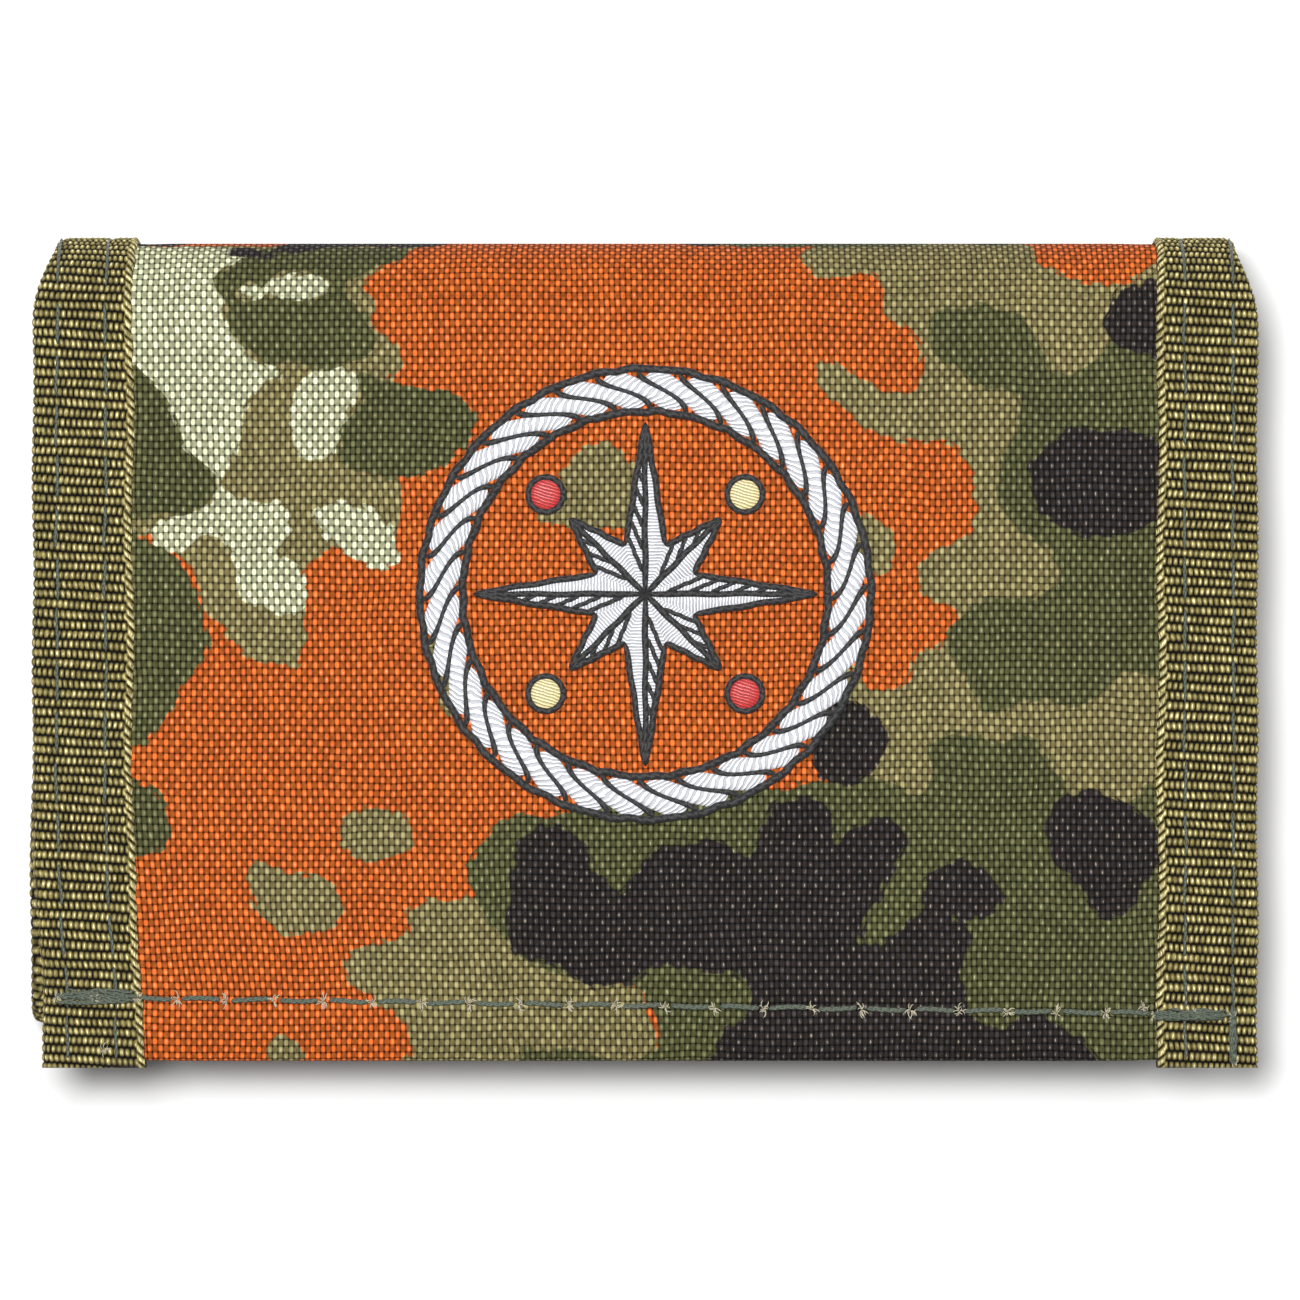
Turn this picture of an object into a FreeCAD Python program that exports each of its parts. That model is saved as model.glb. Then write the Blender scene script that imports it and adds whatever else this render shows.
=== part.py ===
import FreeCAD, Part
import os
import re
import Sketcher

# Three-panel cloth wallet, closed and lying on its back panel, front flap up.
# X runs along the folds, +Y points to the top fold, Z is the closed stack's height.
# Seen from the side it is a letter fold: the back panel, a front flap over the top fold,
# and a short coin flap over the lower fold, tucked between the other two.

doc = FreeCAD.newDocument("wallet")
sheet = doc.addObject("Spreadsheet::Sheet", "sizes")

cells = [
    ("width", 130.0),        # along the folds
    ("height", 88.0),        # top fold to the front flap's free end
    ("lowerStep", 4.3),      # the lower fold stops this far above the free end
    ("coinTip", 7.0),        # free end of the coin flap
    ("tape", 0.6),           # binding webbing
    ("tapeWidth", 11.0),     # binding seen on each face
    ("cloth", 0.5),          # outer cloth
    ("foam", 0.7),           # padding of the back panel
    ("foamFront", 0.4),
    ("lining", 0.3),
    ("noteGap", 0.4),        # note compartment
    ("cardCloth", 0.3),
    ("cardPitch", 0.35),
    ("slotStep", 9.0),       # card slots step down by this much
    ("zipGap", 2.9),         # room for the slider under the coin flap
    ("coinFace", 0.35),
    ("coinDepth", 1.35),     # room inside the coin pocket
    ("loopTape", 1.6),
    ("closeGap", 0.2),       # between the hooks and the loops
    ("hookTape", 1.8),
    ("foldWall", 2.0),       # thickness of the binding where it rounds a fold
    ("zipLine", -8.0),       # the zip's centre line
    ("coilWide", 1.5),
    ("coilThick", 1.0),
    ("coilGap", 1.2),
    ("zipHalf", 50.0),       # half the length of the zip
    ("sliderLong", 9.0),
    ("sliderWide", 7.2),
    ("pullLong", 20.0),
    ("pullWide", 5.0),
    ("pullThick", 0.8),
    ("pinRadius", 0.30),
    ("pinPlay", 0.06),
    ("emblemRadius", 23.6),
    ("emblemThick", 0.4),
    ("emblemDot", 1.6),
    ("emblemY", 6.0),
    ("hemLine", 6.5),        # the hem's stitches above the free end
    ("stitchLong", 4.4),
    ("stitchPitch", 5.16),
    ("threadWide", 0.45),
    ("threadThick", 0.3),
]
for row, (alias, value) in enumerate(cells, start=1):
    sheet.set("A%d" % row, alias)
    sheet.set("B%d" % row, str(value))
    sheet.setAlias("B%d" % row, alias)
doc.recompute()
aliases = [alias for alias, value in cells]

# Levels and lengths that follow from the cells.
derived = {
    "half": "width/2",
    "inner": "half - tape",
    "clear": "half - tapeWidth",
    "backTop": "2*tape + cloth + foam + lining + noteGap + cardCloth + 4*cardPitch + 0.2",
    "coinLow": "backTop + zipGap",
    "coinTop": "coinLow + 2*tape + coinFace + coinDepth + lining + cloth",
    "loopTop": "coinTop + loopTape",
    "hookLow": "loopTop + closeGap",
    "hookTop": "hookLow + hookTape",
    "frontLow": "hookTop - cloth - tape",
    "thickness": "hookTop + lining + foamFront + cloth + tape",
    "foldR": "thickness/2",
    "lowR": "coinTop/2",
    "top": "height/2",
    "foldY": "top - foldR",
    "lowY": "lowerStep + lowR - top",
    "liningBackZ": "tape + cloth + foam",
    "dividerZ": "liningBackZ + lining + noteGap",
    "slotZ": "dividerZ + cardCloth + 0.05",
    "coinFaceZ": "coinLow + tape",
    "coinLiningZ": "coinTop - tape - cloth - lining",
    "zipTapeZ": "coinFaceZ + coinFace",
    "coilZ": "zipTapeZ + 0.15 - coilThick/2",
    "plateZ": "coilZ - 0.2 - 0.7",
    "pinZ": "plateZ - 0.9",
    "sliderX": "zipHalf - sliderLong/2 - 1.5",
}


def bind(text):
    # Replaces derived names by their formulas and cell names by references to the sheet.
    def swap(match):
        word = match.group(0)
        if word in derived:
            return "(" + bind(derived[word]) + ")"
        if word in aliases:
            return "sizes." + word
        return word
    return re.sub(r"[A-Za-z]+", swap, str(text))


def value(text):
    # The present value of a formula, for the pieces that are not bound by an expression.
    table = {alias: float(sheet.get(alias)) for alias in aliases}
    probe = bind(text)
    work = doc.addObject("Part::Box", "probe")
    work.setExpression("Length", "1000 + " + probe)
    doc.recompute()
    result = work.Length.Value - 1000.0
    doc.removeObject(work.Name)
    return result if table else 0.0


nodes = []


def keep(item, label):
    item.Label = label
    nodes.append(item)
    return item


def box(name, x, y, z):
    item = doc.addObject("Part::Box", name)
    for size, place, pair in (("Length", "x", x), ("Width", "y", y), ("Height", "z", z)):
        low, high = bind(pair[0]), bind(pair[1])
        item.setExpression(size, "(%s) - (%s)" % (high, low))
        item.setExpression("Placement.Base." + place, low)
    return item


def sector(name, side, radius, start, end, x):
    # A pie slice about a fold's centre line; angles run from straight down towards the fold.
    item = doc.addObject("Part::Cylinder", name)
    item.Angle = end - start
    turn = start if side > 0 else -end
    about = FreeCAD.Rotation(FreeCAD.Vector(1, 0, 0), turn)
    item.Placement = FreeCAD.Placement(
        FreeCAD.Vector(0, 0, 0), about.multiply(FreeCAD.Rotation(FreeCAD.Vector(0, 1, 0), 90)))
    item.setExpression("Radius", bind(radius))
    item.setExpression("Height", "(%s) - (%s)" % (bind(x[1]), bind(x[0])))
    item.setExpression("Placement.Base.x", bind(x[0]))
    item.setExpression("Placement.Base.y", bind("foldY" if side > 0 else "lowY"))
    item.setExpression("Placement.Base.z", bind("foldR" if side > 0 else "lowR"))
    return item


def ring(name, side, outer, inner, start, end, x):
    item = doc.addObject("Part::Cut", name)
    item.Base = sector(name + "_out", side, outer, start, end, x)
    item.Tool = sector(name + "_in", side, inner, start, end, x)
    return item


def fuse(name, items):
    item = doc.addObject("Part::MultiFuse", name)
    item.Shapes = items
    item.Refine = True
    return item


def cut(name, base, tool):
    item = doc.addObject("Part::Cut", name)
    item.Base = base
    item.Tool = tool
    return item


def plate(name, x, y, z, hole=None):
    # A flat sheet padded from a sketched rectangle, with an optional rectangular window.
    body = doc.addObject("PartDesign::Body", name)
    sketch = body.newObject("Sketcher::SketchObject", name + "_outline")
    plane = [p for p in body.Origin.OriginFeatures if p.Role == "XY_Plane"][0]
    sketch.AttachmentSupport = [(plane, "")]
    sketch.MapMode = "FlatFace"
    sketch.setExpression("AttachmentOffset.Base.z", bind(z[0]))
    outlines = [(x, y)] + ([hole] if hole else [])
    for index, (spanX, spanY) in enumerate(outlines):
        first = index * 4
        size = 40.0 - 10.0 * index
        corners = [(-size, -size), (size, -size), (size, size), (-size, size)]
        points = [FreeCAD.Vector(u, v, 0) for u, v in corners]
        for side in range(4):
            sketch.addGeometry(Part.LineSegment(points[side], points[(side + 1) % 4]), False)
        for side in range(4):
            following = first + (side + 1) % 4
            sketch.addConstraint(Sketcher.Constraint("Coincident", first + side, 2, following, 1))
        sketch.addConstraint(Sketcher.Constraint("Horizontal", first))
        sketch.addConstraint(Sketcher.Constraint("Vertical", first + 1))
        sketch.addConstraint(Sketcher.Constraint("Horizontal", first + 2))
        sketch.addConstraint(Sketcher.Constraint("Vertical", first + 3))
        for kind, corner, text, start in (
                ("DistanceX", 0, spanX[0], -size), ("DistanceY", 0, spanY[0], -size),
                ("DistanceX", 2, spanX[1], size), ("DistanceY", 2, spanY[1], size)):
            number = sketch.addConstraint(
                Sketcher.Constraint(kind, -1, 1, first + corner, 1, start))
            sketch.setExpression("Constraints[%d]" % number, bind(text))
    pad = body.newObject("PartDesign::Pad", name + "_pad")
    pad.Profile = sketch
    pad.setExpression("Length", "(%s) - (%s)" % (bind(z[1]), bind(z[0])))
    body.Tip = pad
    return body


def channel(name, side, y, z):
    # Webbing folded over one edge of a panel: outer leaf, edge and inner leaf.
    x = ("clear", "half") if side > 0 else ("-(half)", "-(clear)")
    web = ("inner", "half") if side > 0 else ("-(half)", "-(inner)")
    return [
        box(name + "_lower", x, y, (z[0], "%s + tape" % z[0])),
        box(name + "_edge", web, y, z),
        box(name + "_upper", x, y, ("%s - tape" % z[1], z[1])),
    ]


def channelRound(name, side, fold, radius, start, end):
    # The same webbing where it rounds a fold.
    x = ("clear", "half") if side > 0 else ("-(half)", "-(clear)")
    web = ("inner", "half") if side > 0 else ("-(half)", "-(inner)")
    return [
        ring(name + "_outer", fold, radius, radius + " - tape", start, end, x),
        ring(name + "_web", fold, radius, radius + " - foldWall", start, end, web),
        ring(name + "_inner", fold, radius + " - foldWall + tape", radius + " - foldWall",
             start, end, x),
    ]


full = ("-(inner)", "inner")
creaseLow, creaseHigh = 42.0, 48.0

# Back panel: cloth, padding, lining, a divider and four stepped card slots.
flat = ("lowY", "foldY")
keep(fuse("shell_back", [
    box("shell_back_flat", full, flat, ("tape", "tape + cloth")),
    ring("shell_back_up", 1, "foldR - tape", "foldR - tape - cloth", 0, creaseLow, full),
    ring("shell_back_down", -1, "lowR - tape", "lowR - tape - cloth", 0, creaseLow, full),
]), "shell_back")
keep(plate("stiffener_back", full, flat, ("tape + cloth", "liningBackZ")), "stiffener_back")
keep(plate("lining_back", full, flat, ("liningBackZ", "liningBackZ + lining")), "lining_back")
keep(plate("card_divider", full, ("lowY + 0.5", "foldY - 1"),
           ("dividerZ", "dividerZ + cardCloth")), "card_divider")
for count in range(4):
    low = "slotZ + %d*cardPitch" % count
    name = "card_slot_%d" % (count + 1)
    keep(plate(name, full, ("lowY + 1", "foldY - 4.5 - %d*slotStep" % count),
               (low, low + " + cardCloth")), name)

# Front flap: cloth with a turned hem, padding, lining, window and hook tape.
frontEnd = ("-(top) + 0.1", "foldY")
keep(fuse("shell_front", [
    box("shell_front_flat", full, frontEnd, ("thickness - tape - cloth", "thickness - tape")),
    box("shell_front_end", full, ("-(top) + 0.1", "-(top) + 0.1 + cloth"),
        ("hookTop - cloth", "thickness - tape")),
    box("shell_front_turn", full, ("-(top) + 0.1", "-(top) + hemLine"),
        ("hookTop - cloth", "hookTop")),
    ring("shell_front_round", 1, "foldR - tape", "foldR - tape - cloth",
         180 - creaseLow, 180, full),
]), "shell_front")
inside = ("-(top) + 0.2 + cloth", "foldY")
keep(plate("stiffener_front", full, inside,
           ("hookTop + lining", "thickness - tape - cloth")), "stiffener_front")
keep(plate("lining_front", full, inside, ("hookTop", "hookTop + lining")), "lining_front")
windowX = ("-(clear) + 3", "clear - 3")
windowY = ("-14", "foldY - 4")
keep(plate("id_window", ("-(clear) + 4", "clear - 4"), ("-13", "foldY - 5"),
           ("hookTop - 0.2", "hookTop - 0.05")), "id_window")
keep(plate("id_window_edging", windowX, windowY, ("hookTop - 0.55", "hookTop - 0.2"),
           (("-(clear) + 9", "clear - 9"), ("-8", "foldY - 10"))), "id_window_edging")
keep(box("hook_tape", ("-(clear) + 4", "clear - 4"), ("-(top) + 8", "-(top) + 23"),
         ("hookLow", "hookTop")), "hook_tape")

# Emblem on the front: a rope ring, an eight-pointed compass star and four dots.
levels = ("thickness - tape", "thickness - tape + emblemThick")
ringOut = doc.addObject("Part::Cylinder", "emblem_ring_out")
ringIn = doc.addObject("Part::Cylinder", "emblem_ring_in")
for item, radius in ((ringOut, "emblemRadius"), (ringIn, "emblemRadius - 4.4")):
    item.setExpression("Radius", bind(radius))
    item.setExpression("Height", bind("emblemThick"))
    item.setExpression("Placement.Base.y", bind("emblemY"))
    item.setExpression("Placement.Base.z", bind(levels[0]))
keep(cut("emblem_ring", ringOut, ringIn), "emblem_ring")

dots = []
for step in range(4):
    dot = doc.addObject("Part::Cylinder", "emblem_dot_%d" % step)
    signX, signY = ((1, 1), (-1, 1), (-1, -1), (1, -1))[step]
    dot.setExpression("Radius", bind("emblemDot"))
    dot.setExpression("Height", bind("emblemThick"))
    dot.setExpression("Placement.Base.x", bind("%d * emblemRadius * 0.445" % signX))
    dot.setExpression("Placement.Base.y", bind("emblemY + %d * emblemRadius * 0.445" % signY))
    dot.setExpression("Placement.Base.z", bind(levels[0]))
    dots.append(dot)
keep(fuse("emblem_accents", dots), "emblem_accents")

star = doc.addObject("Part::Feature", "emblem_star")
reach = value("emblemRadius - 5.2")
middle = value("emblemY")
corners = []
for step in range(16):
    scale = (1.0, 0.30, 0.62, 0.30)[step % 4]
    turn = FreeCAD.Rotation(FreeCAD.Vector(0, 0, 1), step * 22.5)
    corners.append(turn.multVec(FreeCAD.Vector(0, reach * scale, 0)))
starFace = Part.Face(Part.makePolygon(corners + [corners[0]]))
star.Shape = starFace.extrude(FreeCAD.Vector(0, 0, value("emblemThick")))
star.Placement = FreeCAD.Placement(
    FreeCAD.Vector(0, middle, value("thickness - tape")), FreeCAD.Rotation())
keep(star, "emblem_star")

# Coin flap: pocket face in two parts beside the zip, pocket back, cloth, loop tape.
coinFlat = ("lowY", "coinTip - 0.1")
keep(fuse("shell_coin_flap", [
    box("shell_coin_flat", full, coinFlat, ("coinTop - tape - cloth", "coinTop - tape")),
    box("shell_coin_end", full, ("coinTip - 0.1 - cloth", "coinTip - 0.1"),
        ("coinFaceZ", "coinTop - tape")),
    ring("shell_coin_round", -1, "lowR - tape", "lowR - tape - cloth",
         180 - creaseLow, 180, full),
]), "shell_coin_flap")
pocket = ("lowY", "coinTip - 0.2 - cloth")
keep(plate("coin_pocket_back", full, pocket,
           ("coinLiningZ", "coinLiningZ + lining")), "coin_pocket_back")
keep(plate("coin_face_lower", full, (pocket[0], "zipLine - 4"),
           ("coinFaceZ", "coinFaceZ + coinFace")), "coin_face_lower")
keep(plate("coin_face_upper", full, ("zipLine + 4", pocket[1]),
           ("coinFaceZ", "coinFaceZ + coinFace")), "coin_face_upper")
keep(box("loop_tape", ("-(clear) + 4", "clear - 4"), ("-(top) + 10.8", "-(top) + 24"),
         ("coinTop - tape", "loopTop")), "loop_tape")

# Zip: two tapes, two coils, stops at both ends.
zipX = ("-(zipHalf)", "zipHalf")
edge = "coilGap/2 + coilWide"
keep(box("zip_tape_lower", zipX, ("zipLine - 12", "zipLine - (%s)" % edge),
         ("zipTapeZ", "zipTapeZ + 0.3")), "zip_tape_lower")
keep(box("zip_tape_upper", zipX, ("zipLine + %s" % edge, "zipLine + 12"),
         ("zipTapeZ", "zipTapeZ + 0.3")), "zip_tape_upper")
coilX = ("-(zipHalf) + 1.2", "zipHalf - 1.2")
coil = ("coilZ", "coilZ + coilThick")
keep(box("zip_coil_lower", coilX, ("zipLine - (%s)" % edge, "zipLine - coilGap/2"), coil),
     "zip_coil_lower")
keep(box("zip_coil_upper", coilX, ("zipLine + coilGap/2", "zipLine + %s" % edge), coil),
     "zip_coil_upper")
for name, x in (("zip_stop_left", ("-(zipHalf)", "-(zipHalf) + 1.1")),
                ("zip_stop_right", ("zipHalf - 1.1", "zipHalf"))):
    keep(box(name, x, ("zipLine - coilGap/2 - 1.4", "zipLine + coilGap/2 + 1.4"), coil), name)

# Slider: two plates joined by a post, and two lugs that carry the pull's pin.
def along(low, high):
    return ("sliderX - sliderLong/2 + (%s)" % low, "sliderX - sliderLong/2 + (%s)" % high)


def pin(name, radius, y):
    item = doc.addObject("Part::Cylinder", name)
    item.Placement = FreeCAD.Placement(
        FreeCAD.Vector(0, 0, 0), FreeCAD.Rotation(FreeCAD.Vector(1, 0, 0), -90))
    item.setExpression("Radius", bind(radius))
    item.setExpression("Height", "(%s) - (%s)" % (bind(y[1]), bind(y[0])))
    item.setExpression("Placement.Base.x", bind("sliderX"))
    item.setExpression("Placement.Base.y", bind(y[0]))
    item.setExpression("Placement.Base.z", bind("pinZ"))
    return item


plateY = ("zipLine - sliderWide/2", "zipLine + sliderWide/2")
lugX = ("sliderX - 0.75", "sliderX + 0.75")
keep(fuse("zip_slider", [
    box("slider_outer", along("0", "sliderLong"), plateY, ("plateZ", "plateZ + 0.7")),
    box("slider_inner", along("0", "sliderLong"), plateY,
        ("coilZ + coilThick + 0.2", "coilZ + coilThick + 0.55")),
    box("slider_post", along("sliderLong - 2.5", "sliderLong - 0.5"),
        ("zipLine - coilGap/2 + 0.2", "zipLine + coilGap/2 - 0.2"),
        ("plateZ", "coilZ + coilThick + 0.55")),
    box("slider_lug_low", lugX, ("zipLine - 2.4", "zipLine - 1.4"), ("pinZ - 0.6", "plateZ")),
    box("slider_lug_high", lugX, ("zipLine + 1.4", "zipLine + 2.4"), ("pinZ - 0.6", "plateZ")),
    pin("slider_pin", "pinRadius", ("zipLine - 2.4", "zipLine + 2.4")),
]), "zip_slider")

# Pull: an eye on the pin and a flat tag that lies along the zip.
level = ("pinZ - pullThick/2", "pinZ + pullThick/2")
tag = fuse("pull_tag", [
    pin("pull_eye", "0.75", ("zipLine - 1.1", "zipLine + 1.1")),
    box("pull_neck", ("sliderX - 5", "sliderX"), ("zipLine - 1.1", "zipLine + 1.1"), level),
    box("pull_blade", ("sliderX - pullLong", "sliderX - 4"),
        ("zipLine - pullWide/2", "zipLine + pullWide/2"), level),
])
keep(cut("zip_pull", tag, pin("pull_bore", "pinRadius + pinPlay",
                              ("zipLine - 1.5", "zipLine + 1.5"))), "zip_pull")

# Cloth and lining of the two folds.
for label, fold, radius in (("top_fold", 1, "foldR"), ("lower_fold", -1, "lowR")):
    keep(ring("shell_" + label, fold, radius + " - tape", radius + " - tape - cloth",
              creaseHigh, 180 - creaseHigh, full), "shell_" + label)
    keep(ring("lining_" + label, fold, radius + " - tape - cloth",
              radius + " - tape - cloth - lining", creaseHigh, 180 - creaseHigh, full),
         "lining_" + label)

# Binding webbing down both sides, in one piece for each panel and fold.
for word, side in (("left", -1), ("right", 1)):
    back = "binding_%s_back" % word
    keep(fuse(back, channel(back, side, flat, ("0", "backTop"))
              + channelRound(back + "_a", side, 1, "foldR", 0, creaseLow)
              + channelRound(back + "_b", side, -1, "lowR", 0, creaseLow)), back)
    front = "binding_%s_front" % word
    keep(fuse(front, channel(front, side, ("-(top)", "foldY"), ("frontLow", "thickness"))
              + channelRound(front + "_a", side, 1, "foldR", 180 - creaseLow, 180)), front)
    coin = "binding_%s_coin_flap" % word
    keep(fuse(coin, channel(coin, side, ("lowY", "coinTip"), ("coinLow", "coinTop"))
              + channelRound(coin + "_a", side, -1, "lowR", 180 - creaseLow, 180)), coin)
    for label, fold, radius in (("top_fold", 1, "foldR"), ("lower_fold", -1, "lowR")):
        name = "binding_%s_%s" % (word, label)
        keep(fuse(name, channelRound(name + "_r", side, fold, radius,
                                     creaseHigh, 180 - creaseHigh)), name)

# Stitches lie on the cloth or on the webbing as short bars of thread.
half, top = value("half"), value("top")
wide, thick = value("threadWide"), value("threadThick")
long, pitch = value("stitchLong"), value("stitchPitch")
clothTop, tapeTop = value("thickness - tape"), value("thickness")
clear, hem, foldLine = value("clear"), value("hemLine"), value("foldY")


def threads(name, bars):
    item = doc.addObject("Part::Feature", name)
    item.Shape = Part.makeCompound([
        Part.makeBox(dx, dy, dz, FreeCAD.Vector(x, y, z)) for x, y, z, dx, dy, dz in bars])
    item.Placement = FreeCAD.Placement(FreeCAD.Vector(0, 0, 0), FreeCAD.Rotation())
    return keep(item, name)


count = int((2 * clear - 2) // pitch)
threads("hem_stitching", [
    (-pitch * count / 2 + pitch * index, -top + hem, clothTop, long, wide, thick)
    for index in range(count)])
for word, side in (("left", -1), ("right", 1)):
    bars = []
    for inset in (3.0, 8.2):
        x = side * (half - inset) - wide / 2
        steps = int((foldLine + top - 2) // pitch)
        for index in range(steps):
            bars.append((x, -top + 1 + pitch * index, tapeTop - thick, wide, long, thick))
    tracks = Part.makeCompound([
        Part.makeBox(dx, dy, dz, FreeCAD.Vector(x, y, z)) for x, y, z, dx, dy, dz in bars])
    grooves = doc.addObject("Part::Feature", "grooves_" + word)
    grooves.Shape = tracks
    front = [item for item in nodes if item.Label == "binding_%s_front" % word][0]
    nodes.remove(front)
    front.Label = "binding_%s_uncut" % word
    keep(cut("binding_%s_grooved" % word, front, grooves), "binding_%s_front" % word)
    threads("binding_stitching_" + word, bars)

doc.recompute()
bad = [item.Label for item in doc.Objects if "Invalid" in item.State or "Error" in item.State]
for item in nodes:
    if item.Shape.isNull() or not item.Shape.isValid() or not item.Shape.Solids:
        bad.append(item.Label)
if bad:
    raise SystemExit("failed: " + ", ".join(bad))
os.makedirs("parts", exist_ok=True)
low = [min(item.Shape.BoundBox.XMin for item in nodes),
       min(item.Shape.BoundBox.YMin for item in nodes),
       min(item.Shape.BoundBox.ZMin for item in nodes)]
high = [max(item.Shape.BoundBox.XMax for item in nodes),
        max(item.Shape.BoundBox.YMax for item in nodes),
        max(item.Shape.BoundBox.ZMax for item in nodes)]
for item in nodes:
    item.Shape.exportStep("parts/%s.step" % item.Label)
print("pieces", len(nodes), "low", [round(v, 3) for v in low],
      "high", [round(v, 3) for v in high])
for name in ("foldY", "foldR", "lowY", "lowR", "pinZ", "sliderX", "coinTop", "thickness"):
    print(name, round(value(name), 4))
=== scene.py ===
import math

import bpy
import numpy as np
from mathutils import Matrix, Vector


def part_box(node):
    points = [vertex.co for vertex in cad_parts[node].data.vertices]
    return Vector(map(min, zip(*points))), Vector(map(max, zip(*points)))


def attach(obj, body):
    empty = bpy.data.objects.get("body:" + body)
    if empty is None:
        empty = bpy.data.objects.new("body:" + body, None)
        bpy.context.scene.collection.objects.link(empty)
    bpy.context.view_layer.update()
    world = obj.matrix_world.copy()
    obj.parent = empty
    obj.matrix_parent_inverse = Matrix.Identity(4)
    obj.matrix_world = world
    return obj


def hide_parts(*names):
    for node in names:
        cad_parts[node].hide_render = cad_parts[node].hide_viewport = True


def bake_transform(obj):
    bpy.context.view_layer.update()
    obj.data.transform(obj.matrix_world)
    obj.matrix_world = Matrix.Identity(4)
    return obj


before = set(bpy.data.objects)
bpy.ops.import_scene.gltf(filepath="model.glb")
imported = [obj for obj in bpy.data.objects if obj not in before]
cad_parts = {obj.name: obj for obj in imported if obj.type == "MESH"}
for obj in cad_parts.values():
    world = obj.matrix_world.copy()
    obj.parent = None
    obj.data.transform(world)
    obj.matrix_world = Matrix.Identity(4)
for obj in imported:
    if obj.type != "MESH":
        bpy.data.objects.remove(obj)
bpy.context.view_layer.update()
mm = 0.001
pi = math.pi
print("frame loaded")


# ---------- paths and meshes, all in millimetres ----------

def pathOf(parts, step=0.05):
    # Joins straight runs and arcs in the side view, and gives length, place and outward normal.
    rows = []
    for kind, *given in parts:
        if kind == "line":
            a, b = np.array(given[0], float), np.array(given[1], float)
            far = np.linalg.norm(b - a)
            t = np.linspace(0, 1, max(2, int(far / step)))
            ahead = (b - a) / far
            rows.append([*(a[:, None] + (b - a)[:, None] * t), 0 * t - ahead[1], 0 * t + ahead[0]])
        else:
            (cy, cz), radius = given[:2]
            start, end = math.radians(given[2]), math.radians(given[3])
            t = np.linspace(start, end, max(4, int(abs(end - start) * radius / step)))
            sign = 1 if end < start else -1
            c, s = np.cos(t), np.sin(t)
            rows.append([cy + radius * c, cz + radius * s, sign * c, sign * s])
    y, z, ny, nz = np.concatenate(rows, 1)
    s = np.concatenate([[0], np.cumsum(np.hypot(np.diff(y), np.diff(z)))]) + np.arange(len(y)) * 1e-7
    return {"s": s, "y": y, "z": z, "ny": ny, "nz": nz}


def spotOf(path, y, z):
    # The length along the path of its nearest point to a place in the side view.
    return float(path["s"][np.argmin(np.hypot(path["y"] - y, path["z"] - z))])


def laid(path, x, s, depth):
    # Points at a depth under the path's outer side: place minus depth times the normal.
    y, z, ny, nz = (np.interp(s, path["s"], path[key]) for key in ("y", "z", "ny", "nz"))
    size = np.hypot(ny, nz)
    return np.stack([x, y - depth * ny / size, z - depth * nz / size], -1)


def fade(value, start, width):
    # 0 up to the start, then a straight rise to 1 over the width.
    return np.clip((value - start) / width, 0, 1)


def ease(t):
    return t * t * (3 - 2 * t)


def meshFrom(name, points, faces, material, uv=None, marks=None, flatLast=0, fans=None):
    # A mesh of quads, the last of them flat, and flat triangles where a piece has end caps.
    mesh = bpy.data.meshes.new(name)
    points = np.asarray(points, float).reshape(-1, 3) * mm
    faces = np.asarray(faces, np.int32)
    fans = np.zeros((0, 3), np.int32) if fans is None else np.asarray(fans, np.int32)
    corners = np.concatenate([faces.ravel(), fans.ravel()])
    starts = np.concatenate([np.arange(len(faces)) * 4, faces.size + np.arange(len(fans)) * 3])
    mesh.vertices.add(len(points))
    mesh.vertices.foreach_set("co", points.ravel())
    mesh.loops.add(corners.size)
    mesh.loops.foreach_set("vertex_index", corners)
    mesh.polygons.add(len(starts))
    mesh.polygons.foreach_set("loop_start", starts.astype(np.int32))
    mesh.polygons.foreach_set("use_smooth", np.arange(len(starts)) < len(faces) - flatLast)
    mesh.update(calc_edges=True)
    if uv is not None:
        layer = mesh.uv_layers.new(name="UVMap")
        layer.data.foreach_set("uv", np.asarray(uv, float).reshape(-1, 2)[corners].ravel())
    for key, values in (marks or {}).items():
        field = mesh.attributes.new(key, "FLOAT", "POINT")
        field.data.foreach_set("value", np.asarray(values, np.float32).ravel())
    mesh.validate()
    thing = bpy.data.objects.new(name, mesh)
    bpy.context.scene.collection.objects.link(thing)
    mesh.materials.append(material)
    return thing


def gridFaces(rows, columns, closed=False, start=0):
    # Quads of a grid whose first index is the row; closed joins the last row to the first.
    i, j = np.meshgrid(np.arange(rows if closed else rows - 1), np.arange(columns - 1), indexing="ij")
    k = (i + 1) % rows
    quad = np.stack([i * columns + j, k * columns + j, k * columns + j + 1, i * columns + j + 1], -1)
    return quad.reshape(-1, 4) + start


def gridsOf(count, rows, columns):
    return np.concatenate([gridFaces(rows, columns, start=i * rows * columns) for i in range(count)])


def slabFaces(rows, columns):
    # An outer grid, an inner grid turned the other way, and the rim between them.
    total = rows * columns
    index = np.arange(total).reshape(rows, columns)
    ring = np.concatenate([index[:-1, 0], index[-1, :-1], index[:0:-1, -1], index[0, :0:-1]])
    after = np.roll(ring, -1)
    rim = np.stack([after, ring, ring + total, after + total], -1)
    return np.concatenate([gridFaces(rows, columns), gridFaces(rows, columns, start=total)[:, ::-1], rim])


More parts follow.
